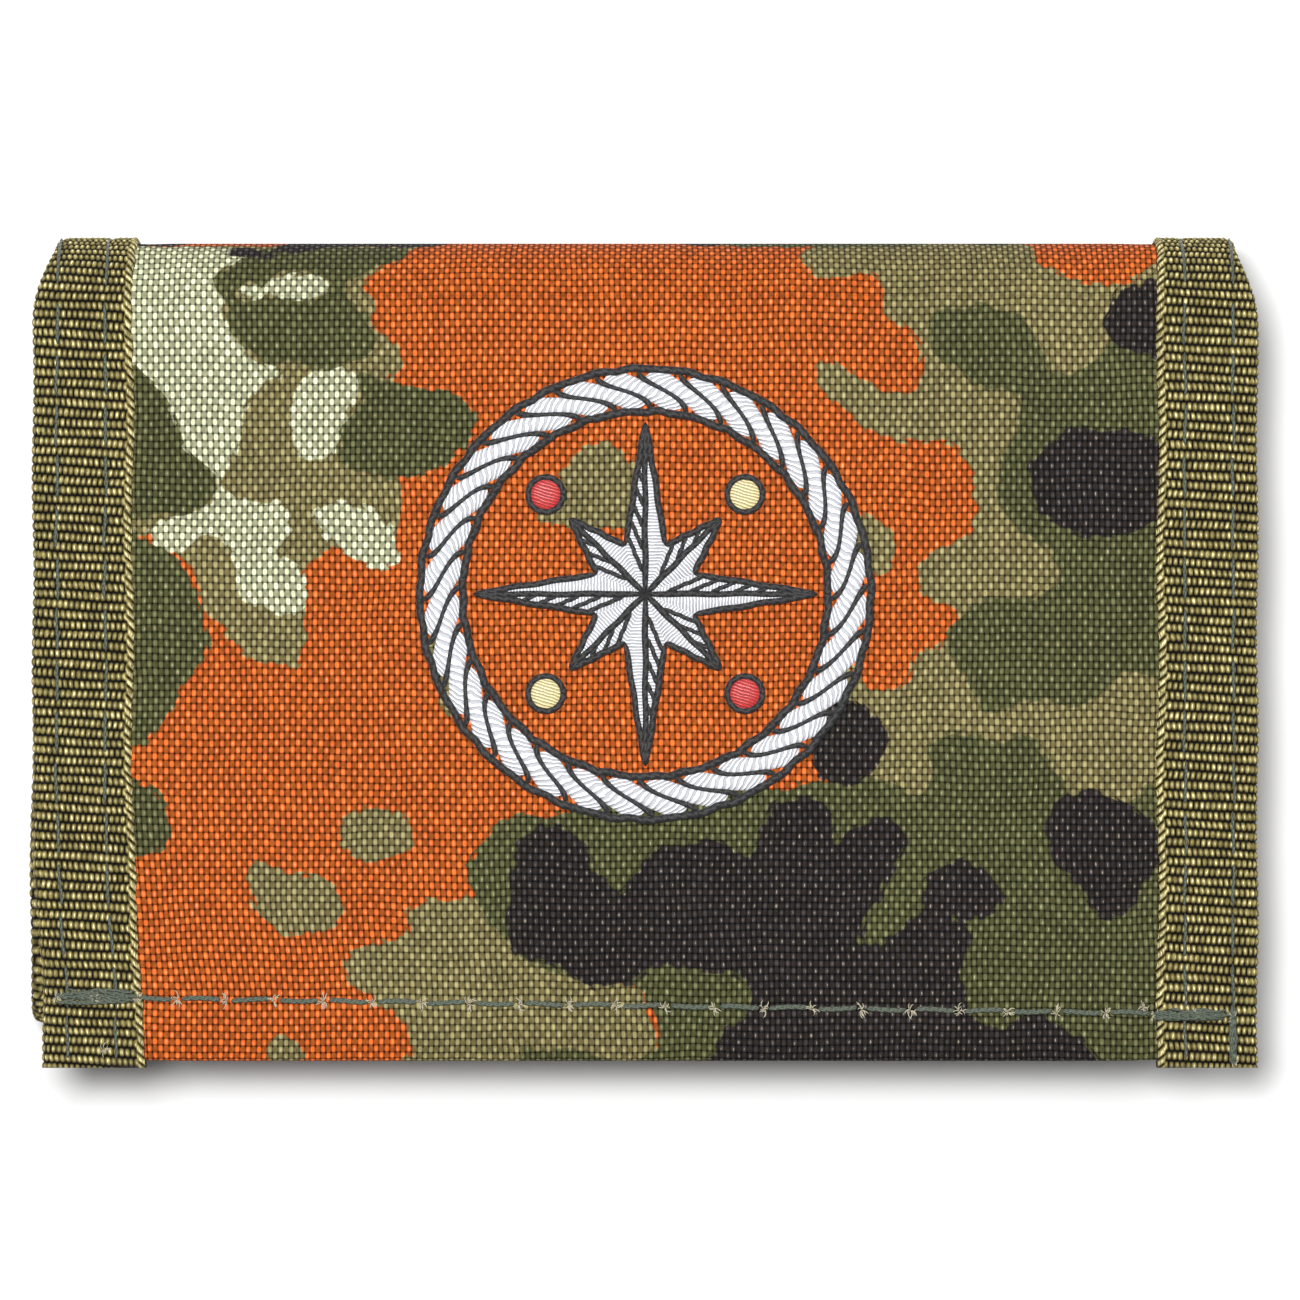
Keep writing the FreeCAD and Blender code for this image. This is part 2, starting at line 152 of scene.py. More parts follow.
def slab(name, path, xs, ss, outer, inner, material, marks=None, shiftX=None, vZero=0.0):
    # A sheet that follows the path between two depths, each a number or a function of x and s.
    x, s = np.meshgrid(xs, ss, indexing="ij")
    points = []
    for depth in (outer, inner):
        grid = laid(path, x, s, depth(x, s) if callable(depth) else depth)
        if shiftX is not None:
            grid[..., 0] += shiftX(x, s - vZero)
        points.append(grid.reshape(-1, 3))
    uv = np.tile(np.stack([x, s - vZero], -1).reshape(-1, 2), (2, 1))
    extra = {key: np.tile(field(x, s - vZero).ravel(), 2) for key, field in (marks or {}).items()}
    rim = 2 * (sum(x.shape) - 2)
    return meshFrom(name, np.concatenate(points), slabFaces(*x.shape), material, uv, extra, rim)


def tubes(name, lines, radius, material, sides=6, flat=1.0, tips=True, curl=False):
    # Tubes along many lines of one point count: ring points are centre + radius (cos, sin) on
    # the two directions across the line; tips narrow them to a point at both ends.
    lines = np.asarray(lines, float)
    count, steps = lines.shape[:2]
    ahead = np.gradient(lines, axis=1)
    ahead /= np.linalg.norm(ahead, axis=2, keepdims=True) + 1e-12
    up = np.zeros_like(ahead)
    up[..., 2] = 1.0
    up[np.abs(ahead[..., 2]) > 0.95] = (1.0, 0.0, 0.0)
    if curl:
        # A line that bends over turns about the normal of its own plane.
        up[:] = np.cross(lines[:, steps // 2] - lines[:, 0], lines[:, -1] - lines[:, 0])[:, None]
    side = np.cross(ahead, up)
    side /= np.linalg.norm(side, axis=2, keepdims=True) + 1e-12
    rise = np.cross(side, ahead)
    turn = np.linspace(0, 2 * pi, sides, endpoint=False)
    t = np.linspace(0, 1, steps)
    taper = np.clip(np.sqrt(np.clip(1 - np.abs(2 * t - 1) ** 8, 0, 1)), 0.05, 1) if tips else np.ones(steps)
    ring = side[:, :, None] * np.cos(turn)[:, None] + flat * rise[:, :, None] * np.sin(turn)[:, None]
    points = lines[:, :, None] + ring * (radius * taper)[:, None, None]
    length = np.pad(np.cumsum(np.linalg.norm(np.diff(lines, axis=1), axis=2), axis=1), ((0, 0), (1, 0)))
    uv = np.stack(np.broadcast_arrays(turn / (2 * pi), length[..., None]), -1)
    level, j = np.arange(steps - 1)[:, None] * sides, np.arange(sides)
    a, b = level + j, level + (j + 1) % sides
    wall = np.stack([a + sides, b + sides, b, a], -1).reshape(-1, 4)
    k = np.arange(1, sides - 1)
    cap = np.stack([0 * k, k, k + 1], -1)
    caps = np.concatenate([cap, cap[:, ::-1] + (steps - 1) * sides])
    shift = (np.arange(count) * steps * sides)[:, None, None]
    walls, caps = (wall + shift).reshape(-1, 4), (caps + shift).reshape(-1, 3)
    return meshFrom(name, points, walls, material, uv, fans=caps)


# ---------- materials ----------

class Value:
    # A node's output that takes part in sums, so that a material reads as its formula.
    def __init__(self, look, socket):
        self.look, self.socket = look, socket

    def math(self, kind, *others):
        return self.look.math(kind, self, *others)

    def __add__(self, other):
        return self.math("ADD", other)

    def __sub__(self, other):
        return self.math("SUBTRACT", other)

    def __mul__(self, other):
        return self.math("MULTIPLY", other)

    def __truediv__(self, other):
        return self.math("DIVIDE", other)

    def __pow__(self, other):
        return self.math("POWER", other)

    def __abs__(self):
        return self.math("ABSOLUTE")

    def __rsub__(self, other):
        return self.look.math("SUBTRACT", other, self)

    __radd__, __rmul__ = __add__, __mul__


class Look:
    # A short way to write a node material; the CAD slot that it is given is not used.
    def __init__(self, name, slot):
        self.material = bpy.data.materials.new(name)
        self.material.use_nodes = True
        self.tree = self.material.node_tree
        self.shader = self.tree.nodes["Principled BSDF"]

    def plug(self, node, inputs):
        for key, value in inputs.items():
            if isinstance(value, Value):
                self.tree.links.new(value.socket, node.inputs[key])
            else:
                node.inputs[key].default_value = value

    def put(self, kind, inputs=None, output=0, **settings):
        node = self.tree.nodes.new(kind)
        for key, value in settings.items():
            setattr(node, key, value)
        self.plug(node, inputs or {})
        return Value(self, node.outputs[output])

    def math(self, kind, *values):
        return self.put("ShaderNodeMath", dict(enumerate(values)), operation=kind)

    def mark(self, name):
        return self.put("ShaderNodeAttribute", output="Fac", attribute_name=name)

    def uv(self):
        # The vector, the coordinate across the sheet and the one along it, in millimetres.
        vector = self.put("ShaderNodeUVMap", uv_map="UVMap")
        across = self.put("ShaderNodeSeparateXYZ", {0: vector})
        return vector, across, Value(self, across.socket.node.outputs[1])

    def place(self):
        return self.put("ShaderNodeTexCoord", output="Object")

    def ramp(self, value, low, high, out0=0.0, out1=1.0):
        return self.put("ShaderNodeMapRange", {0: value, 1: low, 2: high, 3: out0, 4: out1},
                        interpolation_type="SMOOTHSTEP")

    def mix(self, factor, a, b, blend="MIX"):
        return self.put("ShaderNodeMix", {0: factor, 6: a, 7: b}, 2, data_type="RGBA", blend_type=blend)

    def shade(self, colour, amount):
        # Multiplies a colour by a grey value.
        grey = self.put("ShaderNodeCombineXYZ", {0: amount, 1: amount, 2: amount})
        return self.mix(1.0, colour, grey, "MULTIPLY")

    def noise(self, vector, scale, detail=2.0, rough=0.5, stretch=None):
        if stretch is not None:
            vector = self.put("ShaderNodeVectorMath", {0: vector, 1: stretch}, operation="MULTIPLY")
        return self.put("ShaderNodeTexNoise", {"Vector": vector, "Scale": scale, "Detail": detail,
                                               "Roughness": rough})

    def bump(self, height, distance, strength=1.0):
        return self.put("ShaderNodeBump", {"Strength": strength, "Distance": distance, "Height": height})

    def finish(self, colour, roughness, normal, rest=None):
        self.plug(self.shader, {"Base Color": colour, "Roughness": roughness, "Normal": normal, **(rest or {})})
        return self.material


def linear(tone):
    # Screen colour out of 255 to the linear values that shaders use.
    c = np.array(tone) / 255.0
    c = np.where(c <= 0.04045, c / 12.92, ((c + 0.055) / 1.055) ** 2.4)
    return (*map(float, c), 1.0)


# glint and shine set a painted highlight; under and crossing set a weft tint that is partly painted shade.
clothLook = {
    "threadX": 0.58, "threadY": 0.75, "lean": 0.9, "crossing": 0.30, "glint": 0.42, "relief": 0.00020,
    "orange": (212, 98, 36), "khaki": (140, 131, 88), "sage": (206, 210, 172), "olive": (90, 92, 58),
    "black": (48, 43, 44), "under": (128, 104, 52), "shine": (244, 230, 196),
}


def clothMaterial():
    # Plain weave: the product of two cosines is one dot for each thread that comes to the top.
    look = clothLook
    n = Look("camouflageCloth", "camouflage_cloth")
    vector, u, v = n.uv()
    slip = (n.noise(vector, 0.09) - 0.5) * look["lean"]
    a, b = (u + slip) / look["threadX"], (v - slip) / look["threadY"]
    waveA, waveB = (a * pi).math("COSINE"), (b * pi).math("COSINE")
    wave = waveA * (waveB.math("SIGN") * abs(waveB) ** 0.6)
    # corner is 1 in the hollows where four dots meet; below it paints shade there.
    corner = n.ramp((1.0 - abs(waveA)) * (1.0 - abs(waveB)), 0.03, 0.42)
    # Each dot of the weave is a cell of a lattice turned by half a thread.
    p, q = (a + b) * 0.5, (a - b) * 0.5
    cell = n.put("ShaderNodeCombineXYZ", {0: p.math("ROUND"), 1: q.math("ROUND")})
    chance = n.put("ShaderNodeTexWhiteNoise", {"Vector": cell}, "Value", noise_dimensions="2D")
    jitter = (chance - 0.5) * 0.75
    colour, dark = linear(look["orange"]), 0.0
    for key in ("khaki", "sage", "olive", "black"):
        inside = n.ramp(n.mark(key) + jitter, -0.10, 0.10)
        colour = n.mix(inside, colour, linear(look[key]))
        if key in ("olive", "black"):
            dark = inside.math("MAXIMUM", dark)
    top, weft = n.ramp(wave, 0.00, 0.55), n.ramp(wave, 0.0, -0.7)
    gap = n.ramp(abs(wave), 0.0, 0.20)
    fibre, patch = n.noise(vector, 2.2, 3.0, 0.65, (3.2, 0.5, 1.0)), n.noise(vector, 0.045)
    # Painted light: the tops of the dots (top) are made brighter, and the gaps (gap) and hollows (corner) between
    # them darker, as shade falls.
    amount = (0.34 + gap * 0.22 + top * 0.50 - corner * 0.34) * (0.80 + chance * 0.38)
    amount = amount * (0.70 + fibre * 0.60) * (0.88 + patch * 0.24)
    # The lower weft dots are mixed by crossing toward the duller under colour: partly the weft's own tint, partly
    # painted shade.
    final = n.shade(n.mix(weft * (look["crossing"] - dark * 0.24), colour, linear(look["under"])), amount)
    # Painted highlight: by glint, the pale shine colour is mixed onto the dot tops where the fibre noise is high.
    final = n.mix(n.ramp(wave * fibre, 0.40, 0.72) * look["glint"], final, linear(look["shine"]))
    return n.finish(final, 0.86 - top * 0.30, n.bump(top * 0.8 + weft * 0.45 + fibre * 0.25, look["relief"]),
                    {"Sheen Weight": 0.0, "Specular IOR Level": 0.10})


# low and high paint light: low is painted shade in the gaps between beads, high a painted highlight on the bead
# tops.
webbingLook = {"low": (8, 6, 2), "mid": (130, 118, 68), "high": (250, 240, 186), "relief": 0.00010}


def webbingMaterial():
    look = webbingLook
    n = Look("oliveWebbing", "olive_webbing")
    bead, tint = n.mark("bead"), n.mark("tint")
    fibre = n.noise(n.uv()[0], 2.6, 3.0, 0.65, (3.0, 0.45, 1.0))
    # Painted shade: the beads fall to the near-black low colour toward their edges and gaps; painted highlight:
    # their tops and fibres go to the pale high colour.
    body = n.mix(n.ramp(bead, 0.26, 0.72), linear(look["low"]), linear(look["mid"]))
    body = n.mix(n.ramp(bead, 0.66, 0.98) * n.ramp(fibre, 0.36, 0.66), body, linear(look["high"]))
    amount = (0.72 + tint * 0.42) * (0.75 + fibre * 0.5)
    return n.finish(n.shade(body, amount), 0.62, n.bump(bead * 1.6 + fibre * 0.5, look["relief"], 0.9),
                    {"Sheen Weight": 0.0, "Specular IOR Level": 0.12})


def wovenMaterial(name, slot, tone, pitch, relief, roughness):
    # Fine plain weave: the product of two sine waves along the sheet's own directions.
    n = Look(name, slot)
    vector, u, v = n.uv()
    wave = (u * (pi / pitch)).math("SINE") * (v * (pi / pitch)).math("SINE")
    fibre, patch = n.noise(vector, 1.1, 3.0, 0.6, (1.0, 3.0, 1.0)), n.noise(vector, 0.05)
    # Painted shade: darker where the wave is near zero, in the gaps between the threads.
    amount = (0.75 + abs(wave) * 0.5) * (0.6 + fibre * 0.8) * (0.8 + patch * 0.4)
    return n.finish(n.shade(linear(tone), amount), roughness, n.bump(wave + fibre, relief),
                    {"Sheen Weight": 0.15, "Sheen Roughness": 0.45})


def threadMaterial(name, slot, tone, turns=1.1, sheen=0.15, roughness=0.5):
    # Two twisted plies: stripes that run round and along the thread together.
    n = Look(name, slot)
    u, v = n.uv()[1:]
    twist = (u * (4 * pi) + v * (2 * pi * turns)).math("SINE")
    fibre = n.noise(n.place(), 4200.0, 3.0, 0.6)
    # Painted shade: the twist stripes are darker bands in the grooves between the plies.
    amount = (0.82 + twist * 0.22) * (0.65 + fibre * 0.7)
    return n.finish(n.shade(linear(tone), amount), roughness, n.bump(twist * 0.5 + fibre, 0.00008),
                    {"Sheen Weight": sheen})


def satinMaterial(name, slot, tone, pitch=0.34, dark=0.55):
    # Threads laid side by side: ridges across the mark "lay", millimetres counted across them.
    n = Look(name, slot)
    wobble = (n.noise(n.place(), 900.0) - 0.5) * 0.35
    ridge = ((n.mark("lay") + wobble) * (2 * pi / pitch)).math("SINE")
    fibre, top = n.noise(n.place(), 3800.0, 3.0, 0.65), n.ramp(ridge, -1.0, 0.5)
    # Painted shade: the troughs between the laid threads are darkened to dark times the colour; the ridge tops
    # keep it.
    amount = (dark + top * (1.0 - dark)) * (0.80 + fibre * 0.40)
    return n.finish(n.shade(linear(tone), amount), 0.55 - top * 0.18, n.bump(top + fibre * 0.3, 0.00014),
                    {"Sheen Weight": 0.12})


def pileMaterial(name, scale, tone):
    n = Look(name, "hook_and_loop")
    tuft = n.noise(n.place(), scale, 4.0, 0.7)
    return n.finish(n.shade(linear(tone), 0.4 + tuft * 1.3), 0.9, n.bump(tuft, 0.0004), {"Sheen Weight": 0.3})


def metalMaterial():
    n = Look("darkMetal", "dark_metal")
    worn = n.noise(n.place(), 900.0, 4.0, 0.7)
    colour = n.mix(n.ramp(worn, 0.55, 0.75), linear((58, 58, 60)), linear((120, 118, 112)))
    return n.finish(colour, n.ramp(worn, 0.3, 0.8, 0.28, 0.5), n.bump(worn, 0.00003, 0.4), {"Metallic": 0.9})


def coilMaterial():
    n = Look("blackCoil", "black_coil")
    fine = n.noise(n.place(), 2500.0)
    return n.finish(n.shade(linear((46, 46, 48)), 0.7 + fine * 0.6), 0.38, n.bump(fine, 0.00002))


def filmMaterial():
    n = Look("clearFilm", "clear_film")
    return n.finish(linear((236, 240, 242)), 0.12, n.bump(n.noise(n.place(), 60.0), 0.0006, 0.5),
                    {"Alpha": 0.10, "IOR": 1.5, "Coat Weight": 0.3})


camoCloth = clothMaterial()
webbing = webbingMaterial()
lining = wovenMaterial("blackLining", "black_lining", (34, 34, 36), 0.32, 0.00010, 0.62)
zipCloth = wovenMaterial("blackTape", "black_tape", (36, 36, 38), 0.5, 0.00012, 0.8)
padCloth = wovenMaterial("paddingFelt", "padding", (92, 92, 88), 0.9, 0.0002, 0.95)
seamThread = threadMaterial("greyGreenThread", "grey_green_thread", (76, 86, 70))
blackThread = threadMaterial("blackThread", "emblem_grey_thread", (30, 29, 31), 0.9, 0.1, 0.6)
tuftThread = threadMaterial("paleFibre", "grey_green_thread", (214, 206, 176), 0.3, 0.2, 0.7)
silver = satinMaterial("silverSatin", "emblem_grey_thread", (228, 230, 236))
redSatin = satinMaterial("redSatin", "emblem_accent_thread", (206, 44, 44))
creamSatin = satinMaterial("creamSatin", "emblem_accent_thread", (236, 218, 160))
loopPile = pileMaterial("loopPile", 1700.0, (40, 41, 42))
hookGround = pileMaterial("hookGround", 2600.0, (34, 34, 36))
darkMetal = metalMaterial()
blackCoil = coilMaterial()
clearFilm = filmMaterial()
print("materials made")


# ---------- side-view paths and creases ----------

size = {
    "half": 65.0, "clear": 54.0, "topY": 44.0, "foldY": 35.5, "foldR": 8.5, "lowY": -33.9, "lowR": 5.8,
    "clothIn": 0.6, "thickness": 17.0, "coinTop": 11.6, "coinTip": 7.0, "hemY": -43.05, "hemR": 0.85,
    "hemInside": 14.70, "tipY": 6.2, "tipR": 0.6, "tipUnder": 8.9,
}


def stripPath(inset):
    # The letter fold's outline, inset from the webbing's outer face; runs from the front flap's
    # free end over the front, round the top fold, under the back and round to the coin flap.
    # The cloth (inset above 0) also turns under at both ends.
    h = size
    top, coin, hem = h["thickness"] - inset, h["coinTop"] - inset, h["hemY"]
    first, last = (hem, h["tipY"]) if inset > 0 else (-h["topY"], h["coinTip"])
    parts = [("line", (first, top), (h["foldY"], top)),
             ("arc", (h["foldY"], h["foldR"]), h["foldR"] - inset, 90, -90),
             ("line", (h["foldY"], inset), (h["lowY"], inset)),
             ("arc", (h["lowY"], h["lowR"]), h["lowR"] - inset, -90, -270),
             ("line", (h["lowY"], coin), (last, coin))]
    if inset > 0:
        edge = last + h["tipR"]
        parts = [("line", (-37.0, h["hemInside"]), (hem, h["hemInside"])),
                 ("arc", (hem, h["hemInside"] + h["hemR"]), h["hemR"], -90, -270), *parts,
                 ("arc", (last, coin - h["tipR"]), h["tipR"], 90, 0),
                 ("line", (edge, coin - h["tipR"]), (edge, h["tipUnder"]))]
    path = pathOf(parts)
    return {**path, "zero": spotOf(path, 0.0, top), "inset": inset}


clothPath = stripPath(size["clothIn"])
tapePath = stripPath(0.0)


def cutSpot(path, kind, value):
    # A place on a fold by its angle from +Y in degrees, or on a flat panel by its y.
    h, inset = size, path["inset"]
    flats = {"frontY": h["thickness"] - inset, "backY": inset, "coinY": h["coinTop"] - inset}
    if kind in flats:
        return spotOf(path, value, flats[kind])
    cy, radius = (h["foldY"], h["foldR"]) if kind == "topArc" else (h["lowY"], h["lowR"])
    a = math.radians(value)
    return spotOf(path, cy + (radius - inset) * math.cos(a), radius + (radius - inset) * math.sin(a))


# Every continuous strip is cut at these places; each half of a fold has one crease listed below.
lowCuts = [("backY", -29.0), ("lowerArc", 180), ("coinY", -31.0)]
cuts = [("topArc", 75), ("topArc", 0), ("topArc", -75), *lowCuts]
hiddenCuts = [("frontY", 33.5), ("topArc", 0), ("backY", 33.5), *lowCuts]
spans = ["front", "topFront", "topBack", "back", "lowerBack", "lowerCoin", "coin"]
topFold, lowFold = (size["foldY"], size["foldR"]), (size["lowY"], size["lowR"])
creases = {
    "topFront": ("front_flap", "top_spine", topFold, 70, 20),
    "topBack": ("top_spine", "back_panel", topFold, -20, -70),
    "lowerBack": ("back_panel", "lower_spine", lowFold, -110, -160),
    "lowerCoin": ("lower_spine", "coin_flap", lowFold, 160, 110),
}
bodyOf = {"front": "front_flap", "back": "back_panel", "coin": "coin_flap"}


def stretchOf(path, span, places=cuts, ends=None):
    marks = [cutSpot(path, kind, value) for kind, value in places]
    first, last = ends or (path["s"][0], path["s"][-1])
    index = spans.index(span)
    return ([first] + marks)[index], (marks + [last])[index]


def dress(thing, place, node=None):
    # Puts a piece under its body and hides the CAD node it stands for; a fold's half only has its transform baked
    # in.
    if place in creases:
        a, b, (cy, radius), *angles = creases[place]
        ends = [(0, (cy + radius * math.cos(t)) * mm, (radius + radius * math.sin(t)) * mm)
                for t in map(math.radians, angles)]
        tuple(ends[0])
        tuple(ends[1])
        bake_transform(thing)
    else:
        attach(thing, bodyOf.get(place, place))
    if node:
        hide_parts(node)
    return thing


def declare(wide, long):
    long * mm


# ---------- camouflage, drawn in millimetres on the laid-out cloth ------------------

shapes = {
    "khaki": [
        [(-34, 32), (-28, 31), (-27.5, 27), (-30.5, 24), (-30.5, 19.5), (-34.5, 19.5), (-36, 26)],
        [(-57, 47), (-26.5, 47), (-27.5, 42), (-29.5, 39), (-29, 33.5), (-26.5, 31.5), (-26.5, 29), (-30.5, 29),
         (-31.5, 24), (-32, 20.5), (-29, 18.6), (-26.3, 18.8), (-25.6, 15.6), (-26.3, 12.5), (-27.5, 10.3),
         (-31, 10.8), (-35, 10), (-36, 7), (-36, -0.5), (-38, -1.6), (-41, -1), (-44, 1.5), (-46.5, 5),
         (-48.2, 9), (-52, 12), (-57, 15)],
        [(18, 47), (17.5, 41), (20, 39.5), (23.5, 40.5), (25, 38), (25.5, 35.5), (28, 34), (29.3, 31),
         (28.5, 28), (26.5, 27), (23.5, 28.2), (21, 30), (18.5, 30), (18.5, 27.5), (21, 25), (24, 23),
         (27, 22), (31, 22.2), (34, 20), (35, 17), (34.5, 13), (32, 11), (29.5, 10), (28.7, 8.2),
         (29.2, 6), (31.5, 5), (33, 3), (31, 0.5), (28.3, -0.5), (27.8, -3), (26, -4.5), (23.5, -3.5),
         (22, -2), (20, -2), (19, -8), (20, -14), (24, -18), (30, -20), (58, -20), (58, 38.2),
         (50, 38.5), (46, 39.3), (43, 40.5), (41.5, 43), (41, 47)],
        [(22, 8.6), (25.5, 8.4), (26.6, 10.5), (25.2, 13.2), (22.5, 14.6), (21, 13)],
        [(-32.5, -33), (-31.5, -31.8), (-28.5, -30.8), (-25.5, -30), (-25, -27.5), (-23, -26.3),
         (-20.5, -26.5), (-18.5, -25.8), (-12, -28), (-4, -34), (-0.5, -35.5), (0.5, -38), (1.5, -41),
         (2, -47), (-24.5, -47), (-25.3, -41.5), (-27, -38.5), (-29.5, -36.5), (-31.5, -35.2)],
        [(-32.4, -19.5), (-31.5, -17.4), (-28.6, -16.3), (-25.6, -17.4), (-24.6, -19.4), (-25.8, -21.6),
         (-28.8, -22.2), (-31.4, -21.6)],
        [(-42, -22.6), (-42.2, -25), (-41, -28), (-38, -29.8), (-34, -29.6), (-32, -27.8), (-32.5, -25.5),
         (-35, -23.8), (-38, -23.2), (-40.5, -22.3)],
        [(-41, -42), (-40, -40.8), (-38, -40.9), (-36.8, -42.6), (-38, -44), (-40.5, -44)],
        [(-33, 41), (-28.8, 37.5), (-28.3, 34), (-26, 32), (-26, 29.5), (-30, 28.5), (-35, 30), (-36, 37)],
        [(-40.8, 28.5), (-37.5, 29.3), (-36, 24), (-33, 18), (-29.5, 18.6), (-26.3, 19), (-25.6, 15.6),
         (-27.5, 12.5), (-32, 11), (-36.5, 9.2), (-38.8, 11.5), (-38.5, 15.5), (-42, 16.5), (-43, 20),
         (-41.5, 24)],
        [(-48, 12), (-46.5, 10), (-44, 12), (-42.6, 8.5), (-42, 5), (-38.5, 4.5), (-36, 4), (-36, -0.5),
         (-38, -1.6), (-41, -1), (-44, 1.5), (-46.3, 5), (-47.7, 8.5)],
        [(-10.5, 13.3), (-1, 13.3), (-0.3, 17.5), (-3.3, 21.8), (-7, 20.8), (-9.7, 17)],
        [(-23.5, 1), (-20, 0.5), (-19, -4), (-20.8, -6.8), (-22, -3.5)],
    ],
    "sage": [
        [(-57, 47), (-43.5, 47), (-42.5, 42.4), (-45.3, 40.2), (-44.4, 37.5), (-44.3, 35), (-42.5, 31.8),
         (-40, 30.4), (-38.2, 29.2), (-41, 27.5), (-42.5, 24), (-43.5, 20), (-44.6, 17.4), (-42, 15.8),
         (-38.3, 15.2), (-37.6, 13), (-38.6, 10.3), (-36.2, 8.8), (-35.8, 5.2), (-38, 4), (-42, 5.4),
         (-43, 8.4), (-44.6, 11.8), (-47.2, 12), (-50, 10.3), (-52.4, 12.3), (-50.5, 14), (-46.6, 15.4),
         (-45.8, 18.3), (-49.8, 22), (-52, 27.3), (-57, 30)],
        [(-36.6, 21), (-34.2, 20.3), (-32.5, 21.5), (-31.2, 25), (-30.2, 28.6), (-32, 30), (-35.3, 29),
         (-37.2, 25.8)],
        [(-35.2, 14.4), (-33, 15.6), (-28.6, 14.8), (-26.6, 12), (-26, 9.2), (-28.5, 9), (-31.5, 10.4),
         (-34, 12.3)],
    ],
    "olive": [
        [(30.2, 33), (30.5, 35.5), (33, 36.5), (37, 36.2), (40, 35), (41.5, 32.5), (42.5, 30.2), (45, 29),
         (48, 31), (50, 34), (58, 34), (58, -2), (52, -1.9), (49, -3), (47.5, -5), (45, -6), (42, -5),
         (39, -6), (36, -6.4), (34.5, -4), (32.6, -1), (32, 1.5), (34, 4.5), (37, 5.6), (41, 5.4),
         (43.6, 7.6), (43, 10.5), (40, 12.3), (37.6, 15), (37.2, 18), (38, 21), (39.5, 24), (38.7, 27),
         (35, 28.2), (33, 29.5), (31.2, 30.8)],
        [(-18.5, -22.5), (-16.5, -19.5), (-14, -17.5), (-10, -17.2), (0, -15), (10, -14.5), (17, -14),
         (22, -13), (26, -14), (28.5, -15.3), (30, -13.5), (30, -10.5), (32, -8.6), (34.5, -8.8),
         (37, -9.5), (40, -9.1), (42.5, -11.5), (44.5, -14.5), (47.5, -15.8), (51, -16), (58, -14.5),
         (58, -47), (2, -47), (1.4, -41), (0.5, -38), (-1, -35.5), (-5, -35), (-11, -33.5),
         (-14, -31.5), (-16.5, -28.5), (-18.2, -25.5)],
        [(-45.3, 40), (-42.5, 42.5), (-41, 47), (-24.5, 47), (-26, 42), (-29, 41), (-31.5, 38.5),
         (-29.5, 35.5), (-28.4, 32.5), (-30, 30.8), (-33, 30), (-38, 30.2), (-41, 31), (-43.7, 34),
         (-44.2, 37)],
        [(-30.5, 29.4), (-27, 28.1), (-22, 27.5), (-18.8, 26), (-18.2, 23), (-20, 20.5), (-24, 18.4),
         (-29, 18.5), (-32.2, 20.4), (-31.6, 24), (-29.8, 26.5)],
        [(-57, 30), (-52, 28.4), (-50, 25), (-48.4, 21), (-45.2, 18.6), (-45.6, 16), (-48, 14.4),
         (-52, 14.3), (-57, 15.5)],
        [(-57, 12), (-52, 11), (-49, 9.5), (-47.5, 6), (-46, 0.5), (-47.5, -2), (-50, -6), (-52, -9),
         (-54, -9.8), (-57, -9.5)],
        [(-57, -12), (-53, -14), (-50.5, -16.5), (-50, -19.3), (-52, -21.5), (-57, -21.5)],
        [(-13.5, -42.6), (-10, -42), (-6, -42.6), (-3, -44), (-5, -47), (-12, -47)],
    ],
    "black": [
        [(48.5, 34), (49.5, 37), (51.5, 38.8), (58, 38.6), (58, 31), (52, 31.5), (49.5, 32.3)],
        [(40.4, 19), (42.5, 22), (46, 23.4), (50, 23.2), (54, 22.4), (58, 21.5), (58, 15.5), (53.5, 13.4),
         (49.5, 12), (45, 12.7), (42, 14.4), (40.6, 16.5)],
        [(18, -5.3), (20.5, -4.9), (23, -5.8), (25.4, -8), (25.3, -11), (23, -13.4), (19, -13.8),
         (17.5, -11)],
        [(43.5, -15.5), (42.4, -18), (43, -22), (45.5, -24.6), (48, -27.6), (50.5, -27.6), (53, -24.5),
         (54.4, -21), (53, -17.5), (50, -15.8), (46.5, -14.6)],
        [(-13.5, -21), (-14, -24), (-14.6, -29), (-14, -31.5), (-10, -33.2), (-5, -35.4), (-1.5, -35),
         (2, -33), (6, -33.8), (9, -34), (11.5, -36), (10, -39), (8.2, -41), (8.5, -47), (46.5, -47),
         (46.3, -41.5), (43.5, -39.5), (41, -37.8), (38, -39.6), (34.3, -38.5), (33.6, -34), (34, -29.8),
         (32.4, -27.8), (35.4, -28.2), (37.6, -26), (36.6, -23.5), (33.5, -22.2), (30, -23.6),
         (29.4, -26.5), (27.5, -29), (24.5, -31), (22.5, -30.5), (24, -27), (26.5, -22.5), (27.4, -19.5),
         (25.5, -17.7), (22, -18.4), (20, -20), (19.5, -17), (17.5, -15.7), (14, -15.7), (12.5, -18),
         (11, -21.5), (9, -20.5), (7, -20), (3, -20.3), (0.5, -21), (-1.5, -24), (-3, -25.6),
         (-5, -23.5), (-6.5, -20.5), (-8.5, -18.3), (-11.5, -18.8)],
        [(-45.2, 43.6), (-41, 42.6), (-37, 44), (-37, 47), (-46, 47)],
    ],
}
# Pale spots painted over the rest.
paleSpots = [(-36.8, 38.6, 3.6, 1.7), (-41.5, 37.9, 1.6, 1.0)]


def roundLoop(corners, fine=5):
    # A closed smooth outline through the corners: a Catmull-Rom curve.
    p = np.array(corners, float)
    a, b, c, d = (np.roll(p, shift, 0)[:, None] for shift in (1, 0, -1, -2))
    t = (np.arange(fine) / fine)[None, :, None]
    loop = 0.5 * (2 * b + (c - a) * t + (2 * a - 5 * b + 4 * c - d) * t ** 2 + (3 * b - a - 3 * c + d) * t ** 3)
    return loop.reshape(-1, 2)


